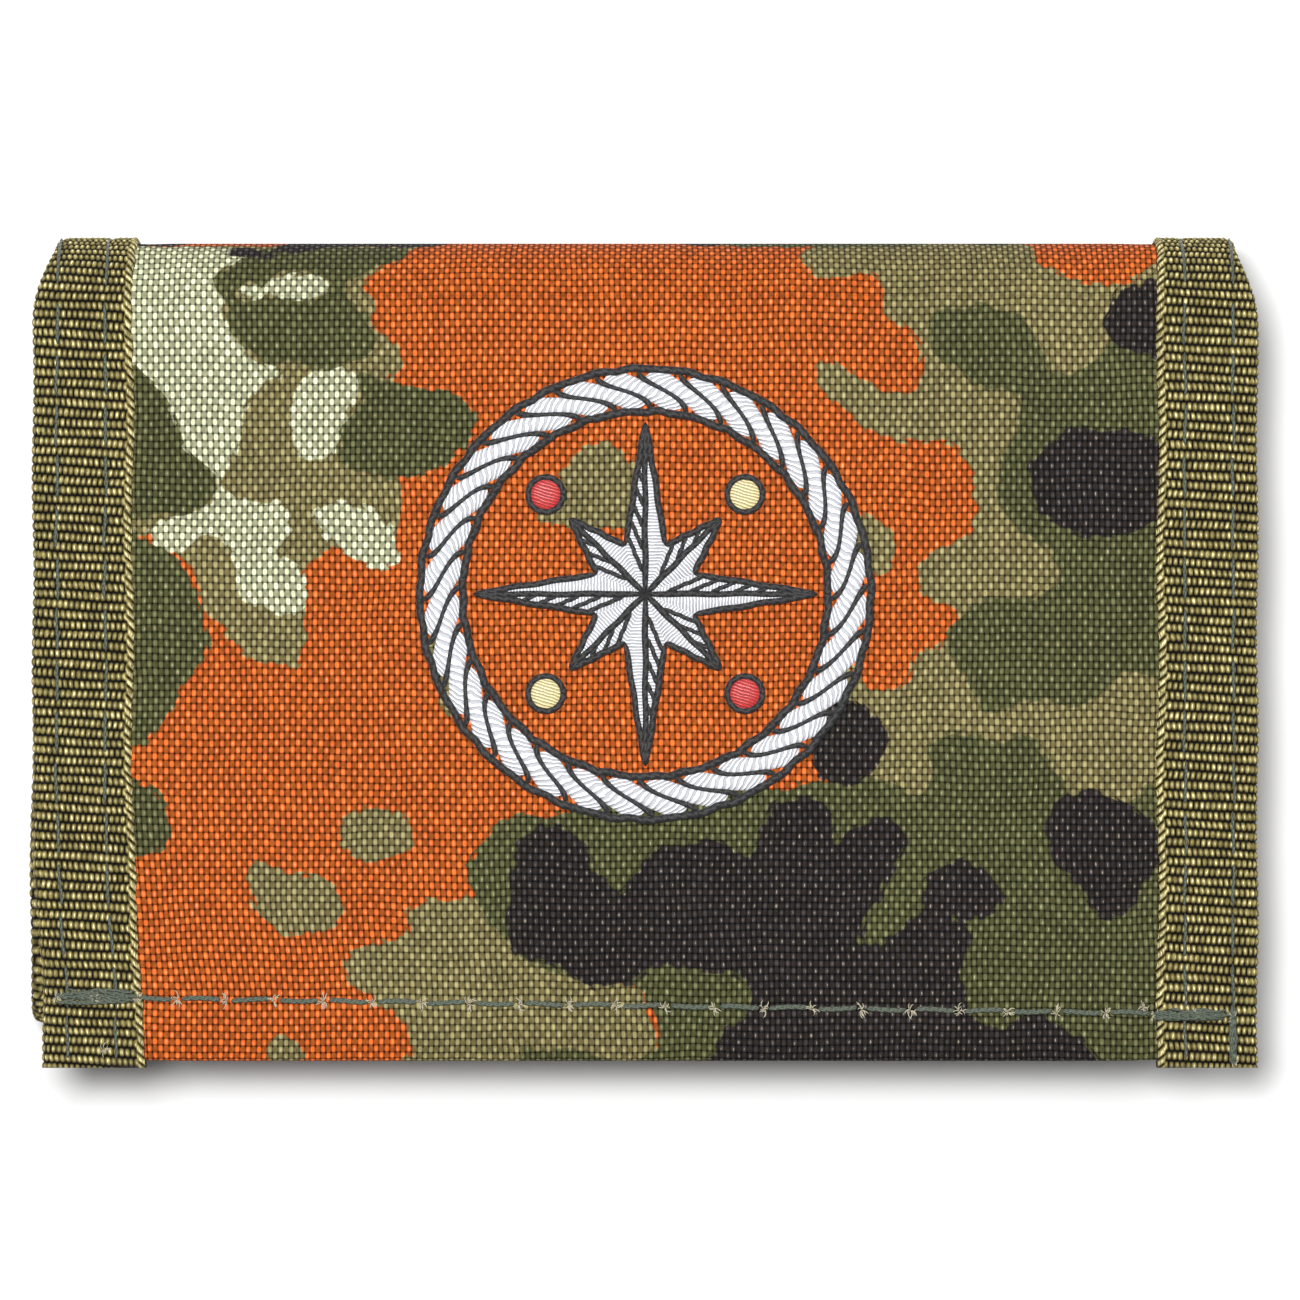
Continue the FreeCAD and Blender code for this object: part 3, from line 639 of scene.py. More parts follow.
def depthInside(x, v, loop):
    # Distance to the outline, positive inside it, for all points at once.
    out = np.full(x.shape, -3.0)
    low, high = loop.min(0) - 2.0, loop.max(0) + 2.0
    near = (x > low[0]) & (x < high[0]) & (v > low[1]) & (v < high[1])
    px, py = x[near], v[near]
    best, odd = np.full(px.shape, 9.0), np.zeros(px.shape, bool)
    for (ax, ay), (bx, by) in zip(loop, np.roll(loop, -1, 0)):
        dx, dy = bx - ax, by - ay
        t = np.clip(((px - ax) * dx + (py - ay) * dy) / (dx * dx + dy * dy + 1e-9), 0, 1)
        best = np.minimum(best, np.hypot(px - ax - t * dx, py - ay - t * dy))
        odd ^= ((ay > py) != (by > py)) & (px < ax + (py - ay) * dx / (dy if dy else 1e-9))
    out[near] = np.where(odd, best, -best)
    return out


def looseBlobs(seed, count, low, high):
    # Wandering blobs for the cloth beyond the drawn part: centre, size, stretch, turn and wobble.
    pick = np.random.default_rng(seed)
    ranges = ((-60, 60), (42, 215), (low, high), (0.55, 1.0), (0, pi), (0, 6.3))
    return np.stack([pick.uniform(a, b, count) for a, b in ranges], -1)


blobs = {"khaki": looseBlobs(3, 52, 6, 13), "sage": looseBlobs(5, 9, 4, 8),
         "olive": looseBlobs(7, 46, 6, 12), "black": looseBlobs(11, 34, 4, 9)}


def camoField(key):
    loops = [roundLoop(corners) for corners in shapes[key]]

    def field(x, v):
        drawn = np.maximum.reduce([depthInside(x, v, loop) for loop in loops])
        for cx, cy, rx, ry in paleSpots:
            pale = (1 - np.hypot((x - cx) / rx, (v - cy) / ry)) * ry
            if key == "sage":
                drawn = np.maximum(drawn, pale)
            if key == "olive":
                drawn = np.minimum(drawn, -pale)
        free = np.full(x.shape, -3.0)
        # The hem's turned leaf takes its blobs from far along the cloth.
        far = np.where(v < 0, v + 170.0, v)
        for cx, cv, radius, stretch, turn, phase in blobs[key]:
            dx, dv = x - cx, far - cv
            a = dx * math.cos(turn) + dv * math.sin(turn)
            b = (dv * math.cos(turn) - dx * math.sin(turn)) / stretch
            angle = np.arctan2(b, a)
            reach = radius * (1 + 0.22 * np.sin(2 * angle + phase) + 0.14 * np.sin(3 * angle - phase))
            free = np.maximum(free, np.clip(reach - np.hypot(a, b), -3, 3))
        share = fade(v, 43.0, 4.0) + fade(-v, 45.6, 1.5)
        ripple = 0.25 * np.sin(x * 0.9 + 1.3 * np.sin(v * 0.7)) * np.sin(v * 0.8 + x * 0.3)
        return drawn * (1 - share) + free * share + ripple
    return field


camoMarks = {key: camoField(key) for key in shapes}


# ---------- outer cloth ----------

clothForm = {"thick": 0.5, "finePitch": 0.5, "pitch": 0.8, "crown": 0.30, "reach": 62.2, "margin": 55.0,
             "drawnIn": 1.1, "roll": 0.62, "pucker": 0.12, "seam": 0.16, "hemLine": -37.5, "hemSlope": 0.015}
clothNodes = {"front": "shell_front", "topFront": "shell_top_fold", "back": "shell_back",
              "lowerCoin": "shell_lower_fold", "coin": "shell_coin_flap"}


def flapShift(x, v):
    # The front flap's lower left corner is drawn in a little, so a lower layer shows beside it.
    return np.where(x < 0, fade(-v, 14.0, 22.0) ** 2 * clothForm["drawnIn"] * fade(-x, 0, 50.0), 0.0)


def hemLine(x):
    return clothForm["hemLine"] - clothForm["hemSlope"] * x


def clothDepth(x, s):
    # Slack in the cloth: a shallow crown, long slow waves and small puckers beside the webbing;
    # it dips at the hem's roll and along the hem's stitches.
    f, v = clothForm, s - clothPath["zero"]
    side = np.clip(1 - (np.abs(x) / size["clear"]) ** 4, 0, 1)
    front = fade(v, -42.5, 8) * fade(-v, -38.0, 8)
    back = fade(v, 64.0, 8) * fade(-v, -126.0, 8)
    slack = 0.6 + 0.25 * np.sin(x * 0.11 + 0.6) * np.sin(v * 0.09 + 0.4)
    slack = slack + 0.18 * np.sin(x * 0.05 - v * 0.13)
    pucker = np.exp(-((size["clear"] - np.abs(x)) / 2.2) ** 2) * np.sin(v * 1.25 + np.sin(v * 0.37))
    roll = fade(-v, 39.6, 3.4) ** 2 * fade(v, -46.0, 1.0)
    seam = np.exp(-((v - hemLine(x)) / 0.8) ** 2)
    crown = side * (front + back * 0.8) * slack
    return f["pucker"] * pucker + f["seam"] * seam + f["roll"] * roll - f["crown"] * crown


for span in spans:
    first, last = stretchOf(clothPath, span)
    reach, pitch = clothForm["reach"], clothForm["finePitch" if span in ("front", "topFront") else "pitch"]
    margin = clothForm["margin"]
    xs = np.concatenate([[-reach, -60.0], np.arange(-margin, margin + 0.01, pitch), [60.0, reach]])
    ss = np.linspace(first, last, max(12, int((last - first) / pitch)))
    piece = slab("cloth_" + span, clothPath, xs, ss, clothDepth,
                 lambda x, s: clothDepth(x, s) * 0.6 + clothForm["thick"], camoCloth,
                 camoMarks, flapShift if span == "front" else None, clothPath["zero"])
    dress(piece, span, clothNodes.get(span))
    declare(2 * reach, last - first)
print("outer cloth sewn")


# ---------- lining ----------

liningForm = {"thick": 0.28, "pitch": 1.2, "ends": (-42.5, 186.5)}
liningNodes = {"front": "lining_front", "topFront": "lining_top_fold", "back": "lining_back",
               "lowerBack": "lining_lower_fold", "coin": "coin_pocket_back"}


def liningDepth(x, s):
    # The lining lies 1.3 mm under the back cloth, 0.9 under the front and close in at the folds.
    v = s - clothPath["zero"]
    front, back, coin = fade(-v, -37.0, 4), fade(v, 60.5, 4) * fade(-v, -129.5, 4), fade(v, 147.0, 3)
    wave = 0.05 * np.sin(x * 0.35) * np.sin(v * 0.4)
    return 0.56 + 0.35 * ease(front) + 0.75 * ease(back) + 0.24 * ease(coin) + wave


for span in spans:
    ends = [clothPath["zero"] + end for end in liningForm["ends"]]
    first, last = stretchOf(clothPath, span, hiddenCuts, ends)
    ss = np.linspace(first, last, max(10, int((last - first) / liningForm["pitch"])))
    piece = slab("inner_cloth_" + span, clothPath, np.linspace(-reach, reach, 100), ss, liningDepth,
                 lambda x, s: liningDepth(x, s) + liningForm["thick"], lining, vZero=clothPath["zero"])
    dress(piece, span, liningNodes.get(span))
    declare(2 * reach, last - first)
print("lining sewn")


# ---------- binding webbing ----------

webbingForm = {"row": 1.02, "bead": 0.60, "rise": 0.30, "thick": 0.62, "selvedge": 0.9, "bend": 1.15,
               "stitchLines": (2.9, 8.0), "leaf": 10.6, "face": 22.0, "drawnIn": 2.0, "finest": 0.34}


def hashed(a, b):
    value = np.sin(a * 12.9898 + b * 78.233) * 43758.5453
    return value - np.floor(value)


def beadField(w, s, side):
    # Oval beads in rows: the product of a half sine along the tape and one across it, every
    # other row moved by half a bead; the outer strip is a row of slanting selvedge loops.
    f = webbingForm
    lean = 0.050 * w * side + 0.10 * np.sin(s * 0.23 + side) + 0.05 * np.sin(s * 0.9 + w * 0.5)
    row = s / f["row"] + lean
    rowIndex = np.floor(row)
    across = w / f["bead"] + 0.5 * np.mod(rowIndex, 2) + 0.08 * np.sin(s * 0.7)
    tint = hashed(rowIndex, np.floor(across))
    dome = np.sin(pi * (row - rowIndex)) ** 0.62 * np.sin(pi * (across - np.floor(across))) ** 0.55
    loop = row - w * 0.85
    loopIndex = np.floor(loop)
    share = fade(-w, -f["selvedge"], 0.25)
    dome = dome * (0.86 + 0.14 * tint) * (1 - share) + np.sin(pi * (loop - loopIndex)) ** 0.7 * share
    return dome, np.where(share > 0.5, hashed(loopIndex, 7.0 + side), tint)


def leafDepth(v):
    # How thick the bound edge is along the strip: 2.9 on the front, 2 round the folds, 5 on the
    # back and 3.7 on the coin flap, with straight slopes from one to the next.
    places, depths = zip((-50, 2.9), (31, 2.9), (37, 2.0), (61, 2.0), (67, 5.0), (130.8, 5.0), (134, 2.0),
                         (146.5, 2.0), (149.6, 3.7), (250, 3.7))
    return np.interp(v, places, depths)


def tapePiece(name, side, span, fine):
    # A folded tape: outer leaf, rounded edge and inner leaf in one closed section, carried along
    # the path; points move along the section's own normal by the height of the beads.
    f = webbingForm
    first, last = stretchOf(tapePath, span)
    ss = np.linspace(first, last, max(8, int((last - first) / fine)))
    v = ss - tapePath["zero"]
    deep = leafDepth(v)[None, :]
    one = np.ones_like(deep)
    pull = ease(fade(v, 34.5, 11.5) * fade(-v, -68.0, 10.0))
    edgeX = (size["half"] - 0.25 - 0.18 * (1 + np.sin(v * 0.31 + side)) * 0.5 - f["drawnIn"] * pull)[None, :]
    startX = (size["clear"] + 0.16 * np.sin(v * 0.27 + 2 * side) + 0.07 * np.sin(v * 1.9))[None, :]
    bend = np.minimum(f["bend"], deep / 2 - 0.05)
    counts = [int(f["leaf"] / fine), max(4, int(1.6 / fine / 1.2)), int(max(4, 3.0 / fine / 1.6)),
              max(4, int(1.6 / fine / 1.2)), max(12, int(f["leaf"] / max(f["finest"], fine)))]
    leafOut, turnOut, edge, turnIn, leafIn = (np.linspace(0, 1, n)[:, None] * one for n in counts)
    turnOut, turnIn = turnOut * pi / 2, turnIn * pi / 2
    x = np.concatenate([startX + (edgeX - bend - startX) * leafOut, edgeX - bend + bend * np.sin(turnOut),
                        edgeX + 0 * edge, edgeX - bend + bend * np.cos(turnIn),
                        edgeX - bend + (startX - edgeX + bend) * leafIn])
    d = np.concatenate([0 * leafOut, bend - bend * np.cos(turnOut), bend + (deep - 2 * bend) * edge,
                        deep - bend + bend * np.sin(turnIn), deep + 0 * leafIn])
    nx = np.concatenate([0 * leafOut, np.sin(turnOut), 1 + 0 * edge, np.cos(turnIn), 0 * leafIn])
    nd = np.concatenate([0 * leafOut - 1, -np.cos(turnOut), 0 * edge, np.sin(turnIn), 1 + 0 * leafIn])
    w = np.concatenate([0 * one, np.cumsum(np.hypot(np.diff(x, axis=0), np.diff(d, axis=0)), 0)])
    dome, tint = beadField(w, ss[None, :] + 0 * x, side)
    if fine > 0.3:
        dome = 0.55 + 0.45 * dome
    mirror = w[-1:] - w
    rise = f["rise"] * (dome - 0.72)
    for line in f["stitchLines"]:
        for across, sunk in ((w, 0.16), (mirror, 0.10)):
            rise = rise - sunk * np.exp(-(((across - line) / 0.30) ** 2))
    tuck = lambda q: 0.6 * (1 - np.sqrt(np.clip(1 - (1 - fade(q, 0, 0.5)) ** 2, 0, 1)))
    d = d + nd * rise + tuck(w) - tuck(mirror)
    x = x + nx * rise + np.where(w < 0.5, 0.14 * (dome - 0.5), 0)
    # The hidden side, back from the inner leaf to the outer one.
    x = np.concatenate([x, startX, edgeX - 0.8, edgeX - 0.8, startX])
    d = np.concatenate([d, deep - f["thick"], deep - f["thick"], f["thick"] * one, f["thick"] * one])
    dome, tint, w = (np.pad(q, ((0, 4), (0, 0))) for q in (dome, tint, w))
    s = ss[None, :] + 0 * x
    # A free end rounds over into the hidden side.
    if span in ("front", "coin"):
        gap = v - v[0] if span == "front" else v[-1] - v
        shrink = np.sqrt(np.clip(1 - (1 - fade(gap, 0, 0.9)) ** 2, 0, 1))[None, :]
        d = 0.5 * deep + (d - 0.5 * deep) * (0.35 + 0.65 * shrink)
    under = fade(v, 96.0, 20.0) * fade(-v, -196.0, 30.0)
    move = flapShift(x * side, v[None, :]) if span == "front" else (-0.7 if side < 0 else 0.1) * under
    faces = gridFaces(*x.shape, closed=True)
    # End caps: triangles from the section's outer points to the four hidden ones.
    shown, columns = x.shape[0] - 4, x.shape[1]
    index = np.arange(shown - 1)
    limits = np.cumsum([0] + counts)[[0, 2, 4]] + np.array(counts[::2]) // 2
    hidden = shown + 3 - (index[:, None] >= limits[None, :]).sum(1)
    switch = np.array([(q, shown + 3 - k, shown + 2 - k) for k, q in enumerate(limits)])
    cap = np.concatenate([np.stack([index, index + 1, hidden], -1), switch])
    fans = np.concatenate([cap[:, ::-1] * columns, cap * columns + columns - 1])
    if side < 0:
        faces, fans = faces[:, ::-1], fans[:, ::-1]
    points = laid(tapePath, x * side + move, s, d)
    return meshFrom(name, points, faces, webbing, np.stack([w, s], -1), {"bead": dome, "tint": tint}, 0, fans)


tapeFine = {"front": 0.128, "topFront": 0.128, "topBack": 0.2, "back": 0.26, "lowerBack": 0.22,
            "lowerCoin": 0.26, "coin": 0.26}
tapeNodes = {"front": "front", "topFront": "top_fold", "back": "back", "lowerBack": "lower_fold",
             "coin": "coin_flap"}
for word, side in (("left", -1), ("right", 1)):
    for span in spans:
        piece = tapePiece("webbing_%s_%s" % (word, span), side, span, tapeFine[span])
        dress(piece, span, "binding_%s_%s" % (word, tapeNodes[span]) if span in tapeNodes else None)
        first, last = stretchOf(tapePath, span)
        edge = float(np.mean(leafDepth(np.linspace(first, last, 9) - tapePath["zero"])))
        declare(webbingForm["face"] + edge, last - first)
print("webbing bound")


# ---------- stitching ----------

stitchForm = {"pitch": 5.05, "radius": 0.17, "gap": 0.35, "rows": (56.9, 62.0), "hemPitch": 5.16,
              "hemRadius": 0.19, "hemFirst": -54.6, "hemCount": 22, "hemInside": 14.62, "tackRadius": 0.15,
              "tackZ": 17.12, "dashRadius": 0.13}


def clothTop(x, y):
    # Height of the front cloth.
    return size["thickness"] - size["clothIn"] - clothDepth(x, clothPath["zero"] + y)


def tapeLevel(s):
    return 0.06 + 0.0 * s


def innerLevel(s):
    return leafDepth(s - tapePath["zero"]) - 0.04


def stitchRow(x, starts, length, level, seed):
    # Stitches along the webbing, each bowed a little sideways and sunk at both of its holes.
    pick = np.random.default_rng(seed)
    t = np.linspace(0, 1, 9)[None, :]
    starts = starts[:, None]
    s = starts + t * length
    shift, sway = (pick.uniform(-0.10, 0.10, starts.shape) for k in range(2))
    offset = shift + sway * np.sin(t * 6.3)
    dip = 0.30 * (1 - np.clip(np.sin(pi * t) * 3.0, 0, 1)) ** 2
    return laid(tapePath, x + offset + 0 * s, s, level(s) + dip)


for word, side in (("left", -1), ("right", 1)):
    for span in spans:
        first, last = stretchOf(tapePath, span)
        count = max(1, int((last - first - 1.4) / stitchForm["pitch"]))
        pitch = (last - first - 1.0) / count
        starts = first + 0.7 + np.arange(count) * pitch
        rows = []
        for place in stitchForm["rows"]:
            for level in (tapeLevel, innerLevel) if span in bodyOf else (tapeLevel,):
                lines = stitchRow(side * place, starts, pitch - stitchForm["gap"], level,
                                  int(place * 7 + side))
                if span == "front":
                    lines[..., 0] += flapShift(side * place + 0 * lines[..., 1], lines[..., 1])
                rows.append(lines)
        piece = tubes("stitches_%s_%s" % (word, span), np.concatenate(rows), stitchForm["radius"], seamThread,
                      flat=0.75)
        dress(piece, span, "binding_stitching_" + word if span == "front" else None)


holes = stitchForm["hemFirst"] + stitchForm["hemPitch"] * np.arange(stitchForm["hemCount"])
t = np.linspace(0, 1, 13)[None, :]
hx = holes[:-1, None] + 0.35 + t * (stitchForm["hemPitch"] - 0.7)
dip = 0.38 * (1 - np.clip(np.sin(pi * t) * 3.2, 0, 1)) ** 2
hy = hemLine(hx) + 0.10 * np.sin(hx * 0.9)
threads = [np.stack([hx, hy, clothTop(hx, hy) + 0.10 - dip], -1),
           np.stack([hx + 0.1, hy + 0.16, clothTop(hx, hy) + 0.05 - dip], -1)]
dress(tubes("hem_threads", np.concatenate(threads), stitchForm["hemRadius"], seamThread, flat=0.8),
      "front_flap", "hem_stitching")
inside = np.stack([hx, hy, stitchForm["hemInside"] + 0 * hx], -1)
dress(tubes("hem_threads_inside", inside, stitchForm["radius"], seamThread, flat=0.8), "front_flap")


def tuftLines(places, count, reach, seed):
    # Loose fibres that spring from each needle hole: short curls in random directions.
    pick = np.random.default_rng(seed)
    places = np.repeat(np.asarray(places, float), count, 0)
    turn = pick.uniform(0, 2 * pi, (len(places), 1))
    length = pick.uniform(0.4, 1.0, (len(places), 1)) * reach
    bend = pick.uniform(-1.6, 1.6, (len(places), 1))
    t = np.linspace(0, 1, 5)[None, :]
    angle = turn + bend * t
    x = places[:, :1] + length * t * np.cos(angle)
    y = places[:, 1:2] + length * t * np.sin(angle) * 1.2
    return np.stack([x, y, places[:, 2:3] + length * (0.35 * t - 0.25 * t * t)], -1)


holeSpots = np.stack([holes, hemLine(holes), clothTop(holes, hemLine(holes)) + 0.05], -1)
dress(tubes("needle_tufts", tuftLines(holeSpots[1:-1], 11, 0.95, 21), 0.045, tuftThread, 4), "front_flap")


def tackBundle(x0, x1, y, seed, count, spread, upright=False):
    # A bar-tack: many threads to and fro over one line, each a shallow zigzag.
    pick = np.random.default_rng(seed)
    each = (count, 1)
    t = np.linspace(0, 1, 15)[None, :]
    start = x0 + pick.uniform(0, 0.5, each) * (x1 - x0) * np.where(pick.random(each) < 0.5, 0, 1)
    stop = x1 - pick.uniform(0, 0.3, each) * (x1 - x0)
    run = start + (stop - start) * t
    across = y + (pick.normal(0, spread, each) + pick.uniform(-0.22, 0.22, each) * np.sin(
        t * pick.uniform(6, 14, each) + pick.uniform(0, 6, each)))
    height = stitchForm["tackZ"] + pick.uniform(0, 0.22, each)
    height = height - 0.30 * (1 - np.clip(np.sin(pi * t) * 4, 0, 1)) ** 2
    return np.stack([across, run, height] if upright else [run, across, height], -1)


tacks = np.concatenate([tackBundle(-62.4, -53.0, -36.5, 31, 20, 0.36),
                        tackBundle(53.4, 62.2, -38.3, 32, 18, 0.30),
                        tackBundle(-43.6, -36.8, 61.9, 33, 13, 0.20, upright=True)])
dress(tubes("bar_tacks", tacks, stitchForm["tackRadius"], seamThread, flat=0.85), "front_flap")
fluffSpots = [(-62, -36.5, 17.2), (-58, -36.7, 17.3), (-53.4, -36.6, 17.2), (-57, -42, 17.0), (53.6, -38.3, 17.1),
              (58, -38.4, 17.2), (61.8, -38.5, 17.3), (52.5, -37.6, 16.8), (62, -43.2, 17.0)]
dress(tubes("bar_tack_fluff", tuftLines(fluffSpots, 12, 0.8, 22), 0.04, tuftThread, 4), "front_flap")
print("stitched")


# ---------- embroidered emblem: a compass star in a rope ring ----------

badge = {"y": 6.0, "inner": 19.5, "outer": 23.5, "turns": 32, "long": 18.2, "short": 11.3, "valley": 5.5,
         "cord": 0.36, "pad": 0.34, "dot": 1.75, "dotCord": 1.85, "dotX": 10.5, "lift": 0.04}


def onFace(x, y, lift):
    return np.stack([x, y + 0 * x, clothTop(x, y) + lift], -1)


def padMesh(name, quads, lays, rise, n=9):
    # Satin pads: each is four corners blended bilinearly, raised by
    # rise * (sin(pi u) sin(pi v))^0.35; "lay" counts millimetres across the threads.
    quads = np.asarray(quads, float)
    u, v = np.meshgrid(np.linspace(0, 1, n), np.linspace(0, 1, n), indexing="ij")
    shares = ((1 - u) * (1 - v), u * (1 - v), u * v, (1 - u) * v)
    flat = sum(quads[:, i, None, None, :] * share[None, ..., None] for i, share in enumerate(shares))
    x, y = flat[..., 0], flat[..., 1]
    points = onFace(x, y, badge["lift"] + rise * (np.sin(pi * u) * np.sin(pi * v))[None] ** 0.35)
    lay = np.stack([a * x[i] + b * y[i] for i, (a, b) in enumerate(lays)])
    return meshFrom(name, points, gridsOf(len(quads), n, n), silver, flat, {"lay": lay})


def strandTurn(v):
    # How far a strand of the rope has turned on its slanting S from the inner edge to the outer.
    return 0.105 * np.sin((v - 0.5) * pi) * 1.25


def ropePads():
    count = badge["turns"]
    u = np.linspace(-1, 1, 9)[None, :, None]
    v = np.linspace(0, 1, 11)[None, None, :]
    half = (pi / count) * 0.98 * (1 - 0.55 * np.abs(2 * v - 1) ** 3)
    angle = (np.arange(count) * 2 * pi / count)[:, None, None] + strandTurn(v) + u * half
    radius = badge["inner"] + 0.15 + (badge["outer"] - badge["inner"] - 0.3) * v + 0 * u
    x, y = radius * np.cos(angle), badge["y"] + radius * np.sin(angle)
    rise = ((1 - u ** 4) * np.sin(pi * (0.08 + 0.84 * v))) ** 0.4
    points = onFace(x, y, badge["lift"] + badge["pad"] * rise)
    lay = radius * 1.1 + (u * half) * radius * 0.35 + 0 * x
    return meshFrom("rope_ring", points, gridsOf(count, 9, 11)[:, ::-1], silver, points[..., :2], {"lay": lay})


dress(ropePads(), "front_flap", "emblem_ring")

# Black cords: between the strands, and round both edges of the ring.
between = (np.arange(badge["turns"]) + 0.5)[:, None] * 2 * pi / badge["turns"]
v = np.linspace(0, 1, 15)[None, :]
angle = between + strandTurn(v) + 0.006 * np.sin(v * 9 + between * 5)
radius = badge["inner"] - 0.1 + (badge["outer"] - badge["inner"] + 0.2) * v
strands = onFace(radius * np.cos(angle), badge["y"] + radius * np.sin(angle), 0.16)
turn = np.linspace(0, 2 * pi, 561)[None, :]
edges = []
for base, wave, phase in ((badge["outer"] + 0.12, 0.22, 2.6), (badge["inner"] - 0.12, -0.20, -0.4)):
    r = base + wave * np.abs(np.cos(16 * turn + phase)) + 0.05 * np.sin(turn * 47)
    edges.append(onFace(r * np.cos(turn), badge["y"] + r * np.sin(turn), 0.18 + 0.05 * np.sin(turn * 90)))
pieces = [tubes("rope_cords", strands, badge["cord"] * 0.86, blackThread, 8, 0.75),
          tubes("rope_edges", np.concatenate(edges), badge["cord"] * 1.15, blackThread, 8, 0.72, tips=False)]

# Star: each point has two facets from the centre line; one of the two is hatched in black.
facets, lays, hatch, outline = {-1: [], 1: []}, [], [], []
centre = np.array([0.0, badge["y"]])
for k in range(8):
    main = pi / 2 + k * pi / 4
    lay = np.array([math.cos(main), math.sin(main)])
    lays.append(lay)
    tip = centre + badge["short" if k % 2 else "long"] * lay
    for side in (-1, 1):
        a = main + side * pi / 8
        out = np.array([math.cos(a), math.sin(a)])
        valley, middle, end = centre + badge["valley"] * out, centre + 0.16 * out, tip * 0.985 + centre * 0.015
        facets[side].append([middle, valley, end, end] if side < 0 else [valley, middle, end, end])
        for j in range(0 if side < 0 else 3 if k % 2 else 6):
            q = (j + 0.7) / (4.0 if k % 2 else 7.0) * 0.92
            start, end = centre + (tip - centre) * q, valley + (tip - valley) * q
            hatch.append(np.linspace(start * 0.9 + end * 0.1, end, 9))
        outline.append(np.linspace(tip, valley, 25))
    outline.append(np.linspace(centre, tip, 25))
wiggle = np.random.default_rng(5)


def cordOver(flatLines, lift, sway):
    # Lines on the cloth, each bent sideways by a small fading wave.
    lines = np.stack(flatLines)
    phase = wiggle.uniform(0, 6, (len(lines), 1))
    t = np.linspace(0, 1, lines.shape[1])[None, :]
    bump = sway * np.sin(t * 19 + phase) * np.sin(pi * t)
    ahead = lines[:, -1] - lines[:, 0]
    ahead /= np.linalg.norm(ahead, axis=1, keepdims=True)
    return onFace(lines[..., 0] - ahead[:, 1:2] * bump, lines[..., 1] + ahead[:, 0:1] * bump, lift)


starLight = padMesh("star_light", facets[-1], lays, 0.36)
pieces += [padMesh("star_shaded", facets[1], lays, 0.28),
           tubes("star_hatching", cordOver(hatch, 0.30, 0.05), 0.24, blackThread, flat=0.7),
           tubes("star_outline", cordOver(outline, 0.26, 0.07), badge["cord"], blackThread, 8, 0.8)]
dress(starLight, "front_flap", "emblem_star")
for piece in pieces:
    dress(piece, "front_flap")


def satinDot(name, cx, cy, material):
    # A round pad: rings of points, raised by a power of the distance from the edge.
    turn, ring = np.meshgrid(np.linspace(0, 2 * pi, 33)[:-1], np.linspace(0.001, 1, 8), indexing="ij")
    x, y = cx + badge["dot"] * ring * np.cos(turn), cy + badge["dot"] * ring * np.sin(turn)
    points = onFace(x, y, badge["lift"] + badge["pad"] * (1 - ring ** 3) ** 0.5)
    return meshFrom(name, points, gridFaces(32, 8, closed=True)[:, ::-1], material, points[..., :2],
                    {"lay": y + 0.3 * x})


dotCords = []
turn = np.linspace(0, 2 * pi, 41)
for name, right, up, material in (("dot_upper_left", -1, 1, redSatin), ("dot_upper_right", 1, 1, creamSatin),
                                  ("dot_lower_left", -1, -1, creamSatin), ("dot_lower_right", 1, -1, redSatin)):
    cx, cy = badge["dotX"] * right, badge["y"] + badge["dotX"] * up
    node = "emblem_accents" if name == "dot_upper_left" else None
    dress(satinDot(name, cx, cy, material), "front_flap", node)
    dotCords.append(onFace(cx + badge["dotCord"] * np.cos(turn), cy + badge["dotCord"] * np.sin(turn), 0.18))
dress(tubes("dot_outlines", np.stack(dotCords), badge["cord"] * 0.9, blackThread, 8, 0.75, tips=False),
      "front_flap")
print("emblem embroidered")


# ---------- inside: slots, window, hook and loop ----------

def spot(node):
    return [np.array(corner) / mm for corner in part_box(node)]


def panel(name, node, body, material, z, up, counts, outer, inner, declared=True):
    # A cut of cloth on a flat panel, over its CAD node's outline; its outer side looks up or down.
    low, high = spot(node)
    a, b = (low[1], high[1]) if up else (high[1], low[1])
    wide, long = high[0] - low[0], high[1] - low[1]
    piece = slab(name, pathOf([("line", (a, z), (b, z))]), np.linspace(low[0], high[0], counts[0]),
                 np.linspace(0, long, counts[1]), outer, inner, material)
    dress(piece, body, node)
    if declared:
        declare(wide, long)


def waved(name, body, node, z, thick, up=True, wave=0.03, hemAt=None):
    # A panel of lining with a slow wave in depth, and a doubled hem where it has one.
    low, high = spot(node)
    wide, long, pitch = high[0] - low[0], high[1] - low[1], liningForm["pitch"]

    def outer(x, s):
        ripple = wave * np.sin(x * 0.13 + z) * np.sin(s * 0.21 + x * 0.05)
        if hemAt is not None:
            ripple = ripple - 0.12 / (1 + np.exp((long - s - hemAt) * 4.0))
        return ripple
    counts = (max(8, int(wide / pitch)), max(6, int(long / pitch * 1.2)))
    panel(name, node, body, lining, z, up, counts, outer, lambda x, s: outer(x, s) * 0.4 + thick)


def dashes(name, body, x0, x1, y0, y1, z, pitch, lift=0.06):
    # A line of machine stitches from one place to another on a flat panel.
    count = max(2, int(math.hypot(x1 - x0, y1 - y0) / pitch))
    t = (np.arange(count)[:, None] + np.linspace(0.12, 0.88, 5)[None, :]) / count
    dipping = lift * (1 - 1.6 * np.abs(np.linspace(-1, 1, 5)) ** 4)[None, :]
    lines = np.stack([x0 + (x1 - x0) * t, y0 + (y1 - y0) * t, z + dipping + 0 * t], -1)
    dress(tubes(name, lines, stitchForm["dashRadius"], blackThread, 5, 0.8), body)


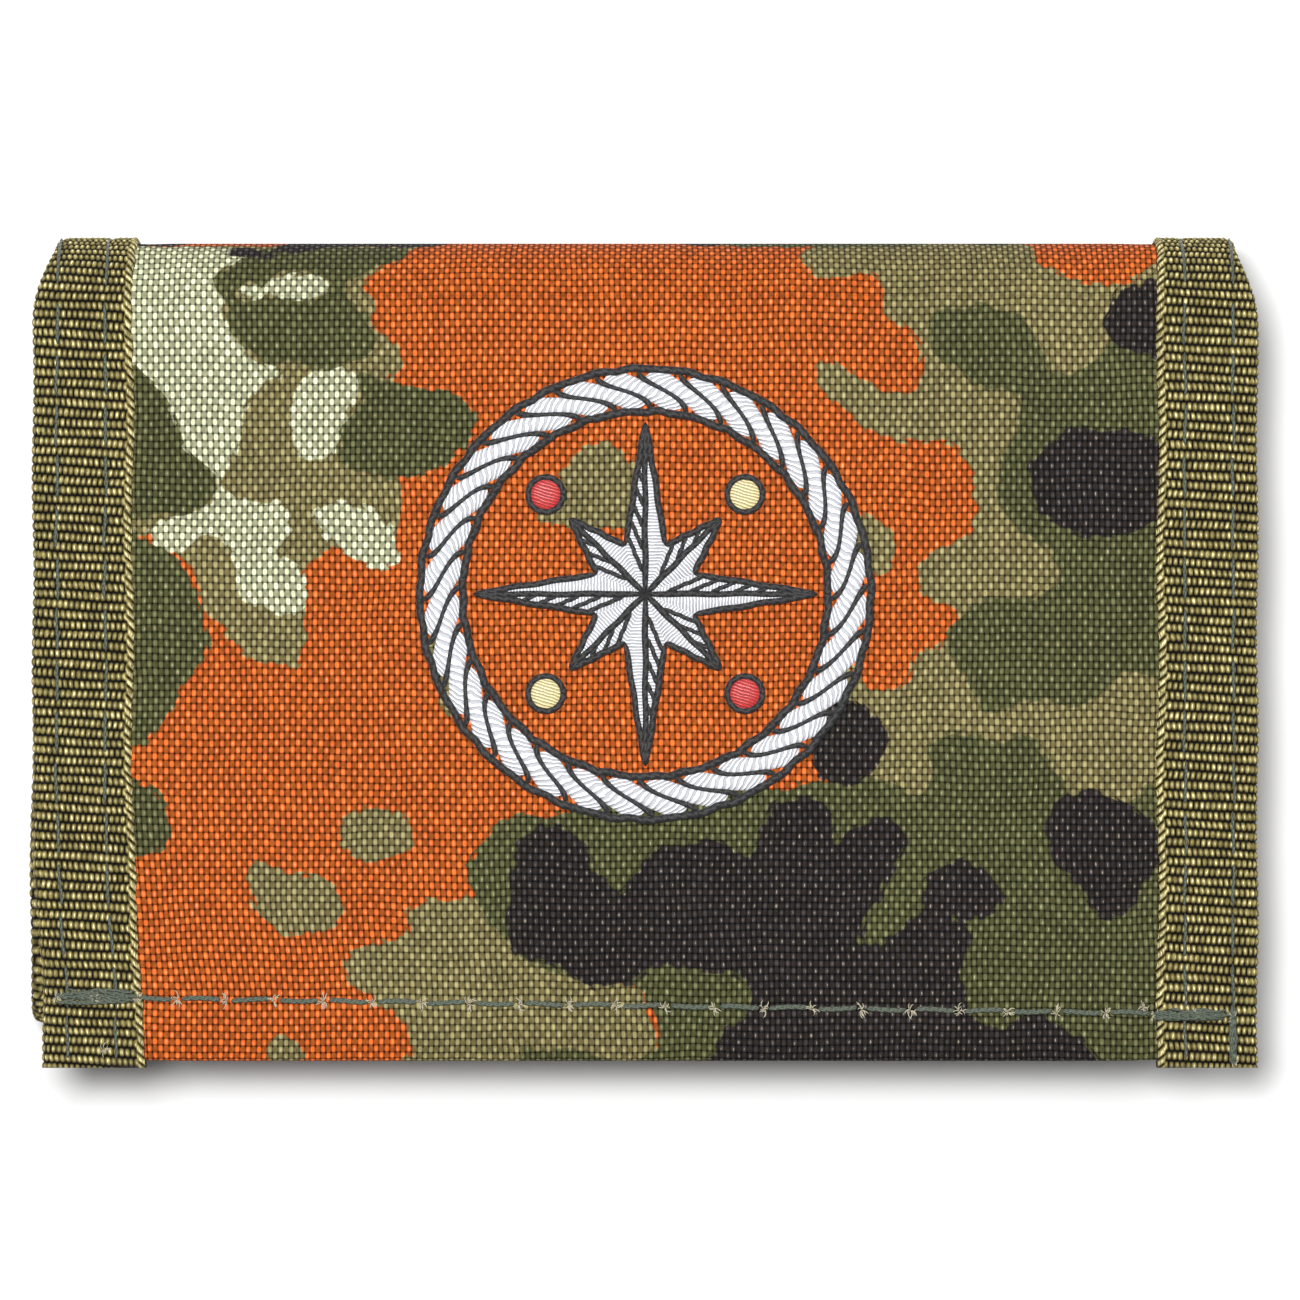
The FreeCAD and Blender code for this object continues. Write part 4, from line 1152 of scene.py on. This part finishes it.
waved("note_divider", "back_panel", "card_divider", 2.8, 0.28)
for k in range(1, 5):
    node = "card_slot_%d" % k
    low, high = spot(node)
    waved(node + "_cloth", "back_panel", node, high[2], 0.24, hemAt=3.4)
    for j, y in enumerate((high[1] - 0.9, high[1] - 3.2)):
        dashes(node + "_seam_%d" % j, "back_panel", low[0] + 1, high[0] - 1, y, y, high[2] + 0.12, 2.6)


def filmWave(x, s):
    return 0.03 * np.sin(x * 0.2) * np.sin(s * 0.3) + 0.02


panel("window_film", "id_window", "front_flap", clearFilm, spot("id_window")[0][2], False, (60, 34), filmWave,
      lambda x, s: filmWave(x, s) + 0.10)


windowForm = {"opening": (-45.0, 45.0, -8.0, 25.5), "seamX": 48.0, "seamLow": -11.0, "seamHigh": 28.4,
              "seamZ": 14.60, "pitch": 2.8}


def windowFrame(fine=24):
    # A cloth edging round the window: a closed ring of a rounded section with mitred corners.
    low, high = spot("id_window_edging")
    bevel = np.array([(0.0, 0.0), (0.0, 0.22), (0.05, 0.31), (0.12, 0.35), (0.5, 0.37), (0.88, 0.35),
                      (0.95, 0.31), (1.0, 0.22), (1.0, 0.0), (0.0, 0.0)])
    rings = [np.array([(x0, y0), (x1, y0), (x1, y1), (x0, y1)])
             for x0, x1, y0, y1 in ((low[0], high[0], low[1], high[1]), windowForm["opening"])]
    t = (np.arange(fine) / fine)[None, :, None]
    outer, inner = ((ring[:, None] + (np.roll(ring, -1, 0) - ring)[:, None] * t).reshape(-1, 1, 2)
                    for ring in rings)
    share = bevel[:, 0][None, :, None]
    flat = outer * (1 - share) + inner * share
    z = high[2] - bevel[:, 1][None, :] + 0 * flat[..., 0]
    uv = np.stack([flat[..., 0] + flat[..., 1], flat[..., 1] - flat[..., 0]], -1)
    return meshFrom("window_edging", np.concatenate([flat, z[..., None]], -1),
                    gridFaces(4 * fine, len(bevel), closed=True)[:, ::-1], zipCloth, uv)


dress(windowFrame(), "front_flap", "id_window_edging")
f = windowForm
x, low, high = f["seamX"], f["seamLow"], f["seamHigh"]
for name, *run in (("top", -x - 1.5, x + 1.5, high, high), ("low", -x - 1.5, x + 1.5, low, low),
                   ("left", -x, -x, low - 1.0, high + 1.6), ("right", x, x, low - 1.0, high + 1.6)):
    dashes("window_seam_" + name, "front_flap", *run, f["seamZ"], f["pitch"], -0.06)


def tapeWithPile(name, body, pileName, up, material, bitOf, pitchX, pitchY, backing=0.6):
    # A ground tape with a jittered lattice of hooks or loops on it.
    node = name.replace("_ground", "")
    low, high = spot(node)
    face = 1 if up else -1
    z = (low if up else high)[2] + face * backing
    panel(name, node, body, hookGround, z, up, (90, 16),
          lambda x, s: 0.03 * np.sin(x * 1.7) * np.sin(s * 2.1), backing - 0.05)
    pick = np.random.default_rng(len(name))
    gx, gy = np.meshgrid(np.arange(low[0] + 1.4, high[0] - 1.2, pitchX),
                         np.arange(low[1] + 1.2, high[1] - 1.0, pitchY), indexing="ij")
    gx = (gx + pick.uniform(-0.3, 0.3, gx.shape) * pitchX).ravel()[:, None]
    gy = (gy + pick.uniform(-0.3, 0.3, gy.shape) * pitchY).ravel()[:, None]
    dx, dy, dz, radius = bitOf(pick, len(gx))
    lines = np.stack([gx + dx, gy + dy, z + face * dz], -1)
    dress(tubes(pileName, lines, radius, material, 4, tips=False, curl=True), body)
    for j, y in enumerate((low[1] + 0.9, high[1] - 0.9)):
        dashes("%s_seam_%d" % (name, j), body, low[0] + 1, high[0] - 1, y, y, z + face * 0.05, 2.8,
               face * 0.06)


def hookBit(pick, count):
    # A hook: a straight stem that bends over at its end.
    t = np.linspace(0, 1, 6)[None, :]
    turn = pick.uniform(0, 2 * pi, (count, 1))
    bend = 0.34 * np.clip(t - 0.45, 0, 1) ** 1.3 * 2.2
    return bend * np.cos(turn), bend * np.sin(turn), 1.10 * np.sin(pi * 0.62 * t) + 0 * turn, 0.085


def loopBit(pick, count):
    # A loop of pile: half a turn over, leaning at random.
    t = np.linspace(0, 1, 7)[None, :]
    turn, lean = pick.uniform(0, 2 * pi, (count, 1)), pick.uniform(-0.5, 0.5, (count, 1))
    out = 0.65 * (t - 0.5) * 1.6
    height = pick.uniform(0.7, 1.5, (count, 1)) * np.sin(pi * t)
    dx = out * np.cos(turn) + lean * height * np.sin(turn)
    dy = out * np.sin(turn) - lean * height * np.cos(turn)
    return dx, dy, height, 0.075


tapeWithPile("hook_tape_ground", "front_flap", "hook_tape_hooks", False, hookGround, hookBit, 1.15, 1.25)
tapeWithPile("loop_tape_ground", "coin_flap", "loop_tape_pile", True, loopPile, loopBit, 0.95, 0.95)
print("slots, window, hook and loop made")


# ---------- coin pocket and its zip ----------

zipForm = {"turns": 78, "thread": 0.14, "x": 44.0, "y": -8.0, "pinZ": 6.7}
for word, face in (("lower", 1), ("upper", -1)):
    node, tape = "coin_face_" + word, "zip_tape_" + word
    z = spot(node)[0][2]
    waved("coin_pocket_" + word, "coin_flap", node, z, 0.3, up=False, wave=0.04)
    low, high = spot(tape)
    panel(tape + "_cloth", tape, "coin_flap", zipCloth, low[2], False, (120, 12),
          lambda x, s: 0.02 * np.sin(x * 3), liningForm["thick"], declared=False)
    seams = (low[1] + 1.4, high[1] - 1.4) if word == "lower" else (high[1] - 1.4, high[1] - 3.2)
    for j, y in enumerate(seams):
        dashes("%s_seam_%d" % (tape, j), "coin_flap", -47, 47, y, y, z - 0.08, 2.6, -0.06)
    # The coil: one thread wound along x, an ellipse across it, flattened where it meets its twin.
    low, high = spot("zip_coil_" + word)
    turns = zipForm["turns"]
    angle = np.linspace(0, 2 * pi * turns, turns * 10)[None, :]
    x = low[0] + 0.3 + (high[0] - low[0] - 0.6) * angle / angle[0, -1]
    y = (low[1] + high[1]) / 2 + face * (0.60 * np.cos(angle) + 0.05 * np.cos(3 * angle))
    z = (low[2] + high[2]) / 2 + 0.36 * np.sin(angle)
    coil = tubes("coil_" + word, np.stack([x, y, z], -1), zipForm["thread"], blackCoil, tips=False)
    dress(coil, "coin_flap", "zip_coil_" + word)


def roundedBlock(low, high, bend, n=9):
    # A block with all edges rounded: a cube grid pushed in to a box and out again by the radius.
    a, b = np.meshgrid(np.linspace(-1, 1, n), np.linspace(-1, 1, n), indexing="ij")
    one = np.ones_like(a)
    sides = [(a, b, one), (b, a, -one), (one, a, b), (-one, b, a), (b, one, a), (a, -one, b)]
    points = np.concatenate([np.stack(s, -1).reshape(-1, 3) for s in sides])
    low, high = np.array(low), np.array(high)
    half = (high - low) / 2
    bend = min(bend, half.min() * 0.95)
    box = np.sign(points) * np.minimum(np.abs(points) * 1.6, 1) * (half - bend)
    away = np.where(np.abs(points) > 0.6, np.sign(points) * (np.abs(points) - 0.6) / 0.4, 0)
    away = away / (np.linalg.norm(away, axis=1, keepdims=True) + 1e-9)
    return (low + high) / 2 + box + away * bend, gridsOf(6, n, n)


def joined(name, blocks, body, node):
    # Several closed shapes as one metal piece.
    points, faces = zip(*blocks)
    starts = np.cumsum([0] + [len(corners) for corners in points])
    faces = np.concatenate([some + start for some, start in zip(faces, starts)])
    piece = meshFrom(name, np.concatenate(points), faces, darkMetal)
    weld = piece.modifiers.new("weld", "WELD")
    weld.merge_threshold = 1e-6
    dress(piece, body, node)


for word in ("left", "right"):
    joined("stop_" + word, [roundedBlock(*spot("zip_stop_" + word), 0.35)], "coin_flap", "zip_stop_" + word)

sx, sy, pinZ = zipForm["x"], zipForm["y"], zipForm["pinZ"]
# Outer and inner plate, the post between them and the pull's two lugs: reach in x and y, z, rounding.
blocks = [((-4.4, 4.4), (-3.4, 3.4), (7.62, 8.28), 0.33), ((-4.4, 4.4), (-3.4, 3.4), (9.72, 10.03), 0.15),
          ((2.1, 3.9), (-0.38, 0.38), (7.8, 9.95), 0.2), ((-0.75, 0.75), (-2.4, -1.45), (6.15, 7.9), 0.3),
          ((-0.75, 0.75), (1.45, 2.4), (6.15, 7.9), 0.3)]
joined("slider_body", [roundedBlock((sx + x0, sy + y0, z0), (sx + x1, sy + y1, z1), bend)
                       for (x0, x1), (y0, y1), (z0, z1), bend in blocks], "zip_slider", "zip_slider")
pin = np.stack([np.full(5, sx), np.linspace(sy - 1.9, sy + 1.9, 5), np.full(5, pinZ)], -1)[None]
dress(tubes("slider_pin", pin, 0.30, darkMetal, 10, tips=False), "zip_slider")
print("zip made")


def collar(inner, outer, low, high):
    # A short tube round the pin: a rounded box section swept round a circle.
    section = np.array([(outer, low + 0.15), (outer, high - 0.15), (outer - 0.12, high), (inner + 0.05, high),
                        (inner, high - 0.1), (inner, low + 0.1), (inner + 0.05, low), (outer - 0.12, low)])
    turn = np.linspace(0, 2 * pi, 25)[:-1, None]
    points = np.stack([sx + section[:, 0] * np.cos(turn), section[:, 1] + 0 * turn,
                       pinZ + section[:, 0] * np.sin(turn)], -1)
    i, j = np.meshgrid(np.arange(24), np.arange(8), indexing="ij")
    k, m = (i + 1) % 24, (j + 1) % 8
    return points.reshape(-1, 3), np.stack([i * 8 + j, i * 8 + m, k * 8 + m, k * 8 + j], -1).reshape(-1, 4)


def tagBlade(x0, x1, halfWide, low, high, neck=1.05):
    # The tag: a flat outline that widens from the neck and ends round, with a raised rim.
    t = np.linspace(0, 1, 41)[:, None]
    wide = neck + (halfWide - neck) * fade(t, 0.18, 0.14) ** 0.6
    wide = wide * np.sqrt(np.clip(1 - fade(t, 0.88, 0.1201) ** 2, 0.0, 1))
    across = np.linspace(-1, 1, 13)[None, :]
    y = sy + wide * across
    x = x1 + (x0 - x1) * t + 0 * y
    rim = 0.12 * np.exp(-((np.abs(across) - 0.80) / 0.12) ** 2) * fade(t, 0.3, 0.05)
    rise = ((high - low) / 2 - 0.12) * np.sqrt(np.clip(1 - np.abs(across) ** 8, 0.0, 1)) + rim
    points = [np.stack([x, y, (low + high) / 2 + face * rise], -1).reshape(-1, 3) for face in (1, -1)]
    return np.concatenate(points), slabFaces(41, 13)[:, ::-1]


joined("pull_tag", [collar(0.37, 0.74, sy - 1.08, sy + 1.08), tagBlade(24.05, sx - 0.55, 2.45, 6.3, 7.1)],
       "zip_pull", "zip_pull")

# Foam inside the two stiff panels, a little smaller than its CAD node.
foamForm = {"half": 61.5, "low": 2.2, "high": 0.6, "sunk": 0.08, "thinner": 0.03, "fill": 0.5}
for word, body in (("front", "front_flap"), ("back", "back_panel")):
    low, high = spot("stiffener_" + word)
    first, last = low[1] + foamForm["low"], high[1] - foamForm["high"]
    foam = slab("foam_" + word, pathOf([("line", (first, high[2]), (last, high[2]))]),
                np.linspace(-foamForm["half"], foamForm["half"], 24), np.linspace(0, last - first, 18),
                lambda x, s: 0.02 * np.sin(x * 0.4) * np.sin(s * 0.5) + foamForm["sunk"],
                high[2] - low[2] - foamForm["thinner"], padCloth)
    dress(foam, body, "stiffener_" + word)
print("pull and foam made")


# ---------- floor, light and camera ----------

# Each lamp is an area light: place, power and size. The camera looks straight down from above.
studioForm = {"world": 0.13, "floor": 0.78, "keyLight": ((-0.12, 0.13, 0.92), 11.5, 0.28),
              "fillLight": ((0.42, 0.30, 0.75), 2.2, 0.4), "lens": 200, "sensor": 36, "seen": 0.1371}


def studio():
    form, scene = studioForm, bpy.context.scene
    world = scene.world = bpy.data.worlds.new("paleStudio")
    world.use_nodes = True
    backdrop = world.node_tree.nodes["Background"]
    backdrop.inputs[0].default_value = (1, 1, 1, 1)
    backdrop.inputs[1].default_value = form["world"]
    bpy.ops.mesh.primitive_plane_add(size=4, location=(0, 0, -0.0004))
    floor = bpy.context.object
    floor.name = "paleFloor"
    pale = bpy.data.materials.new("paleFloor")
    pale.use_nodes = True
    shader = pale.node_tree.nodes["Principled BSDF"]
    shader.inputs["Base Color"].default_value = (form["floor"], form["floor"], form["floor"], 1)
    shader.inputs["Roughness"].default_value = 0.9
    floor.data.materials.append(pale)
    for name in ("keyLight", "fillLight"):
        place, power, width = form[name]
        light = bpy.data.lights.new(name, "AREA")
        light.energy, light.size = power, width
        lamp = bpy.data.objects.new(name, light)
        scene.collection.objects.link(lamp)
        lamp.location = place
        x, y, z = place
        lamp.rotation_euler = (math.atan2(math.hypot(x, y), z), 0, math.atan2(-y, -x) - pi / 2)
    lens = bpy.data.cameras.new("camera")
    lens.lens, lens.sensor_width = form["lens"], form["sensor"]
    camera = bpy.data.objects.new("camera", lens)
    scene.collection.objects.link(camera)
    camera.location = (0.0005, 0.0001, 0.0165 + form["seen"] * form["lens"] / form["sensor"])
    scene.camera = camera


studio()
bpy.context.scene.view_settings.view_transform = "Standard"
print("wallet finished")
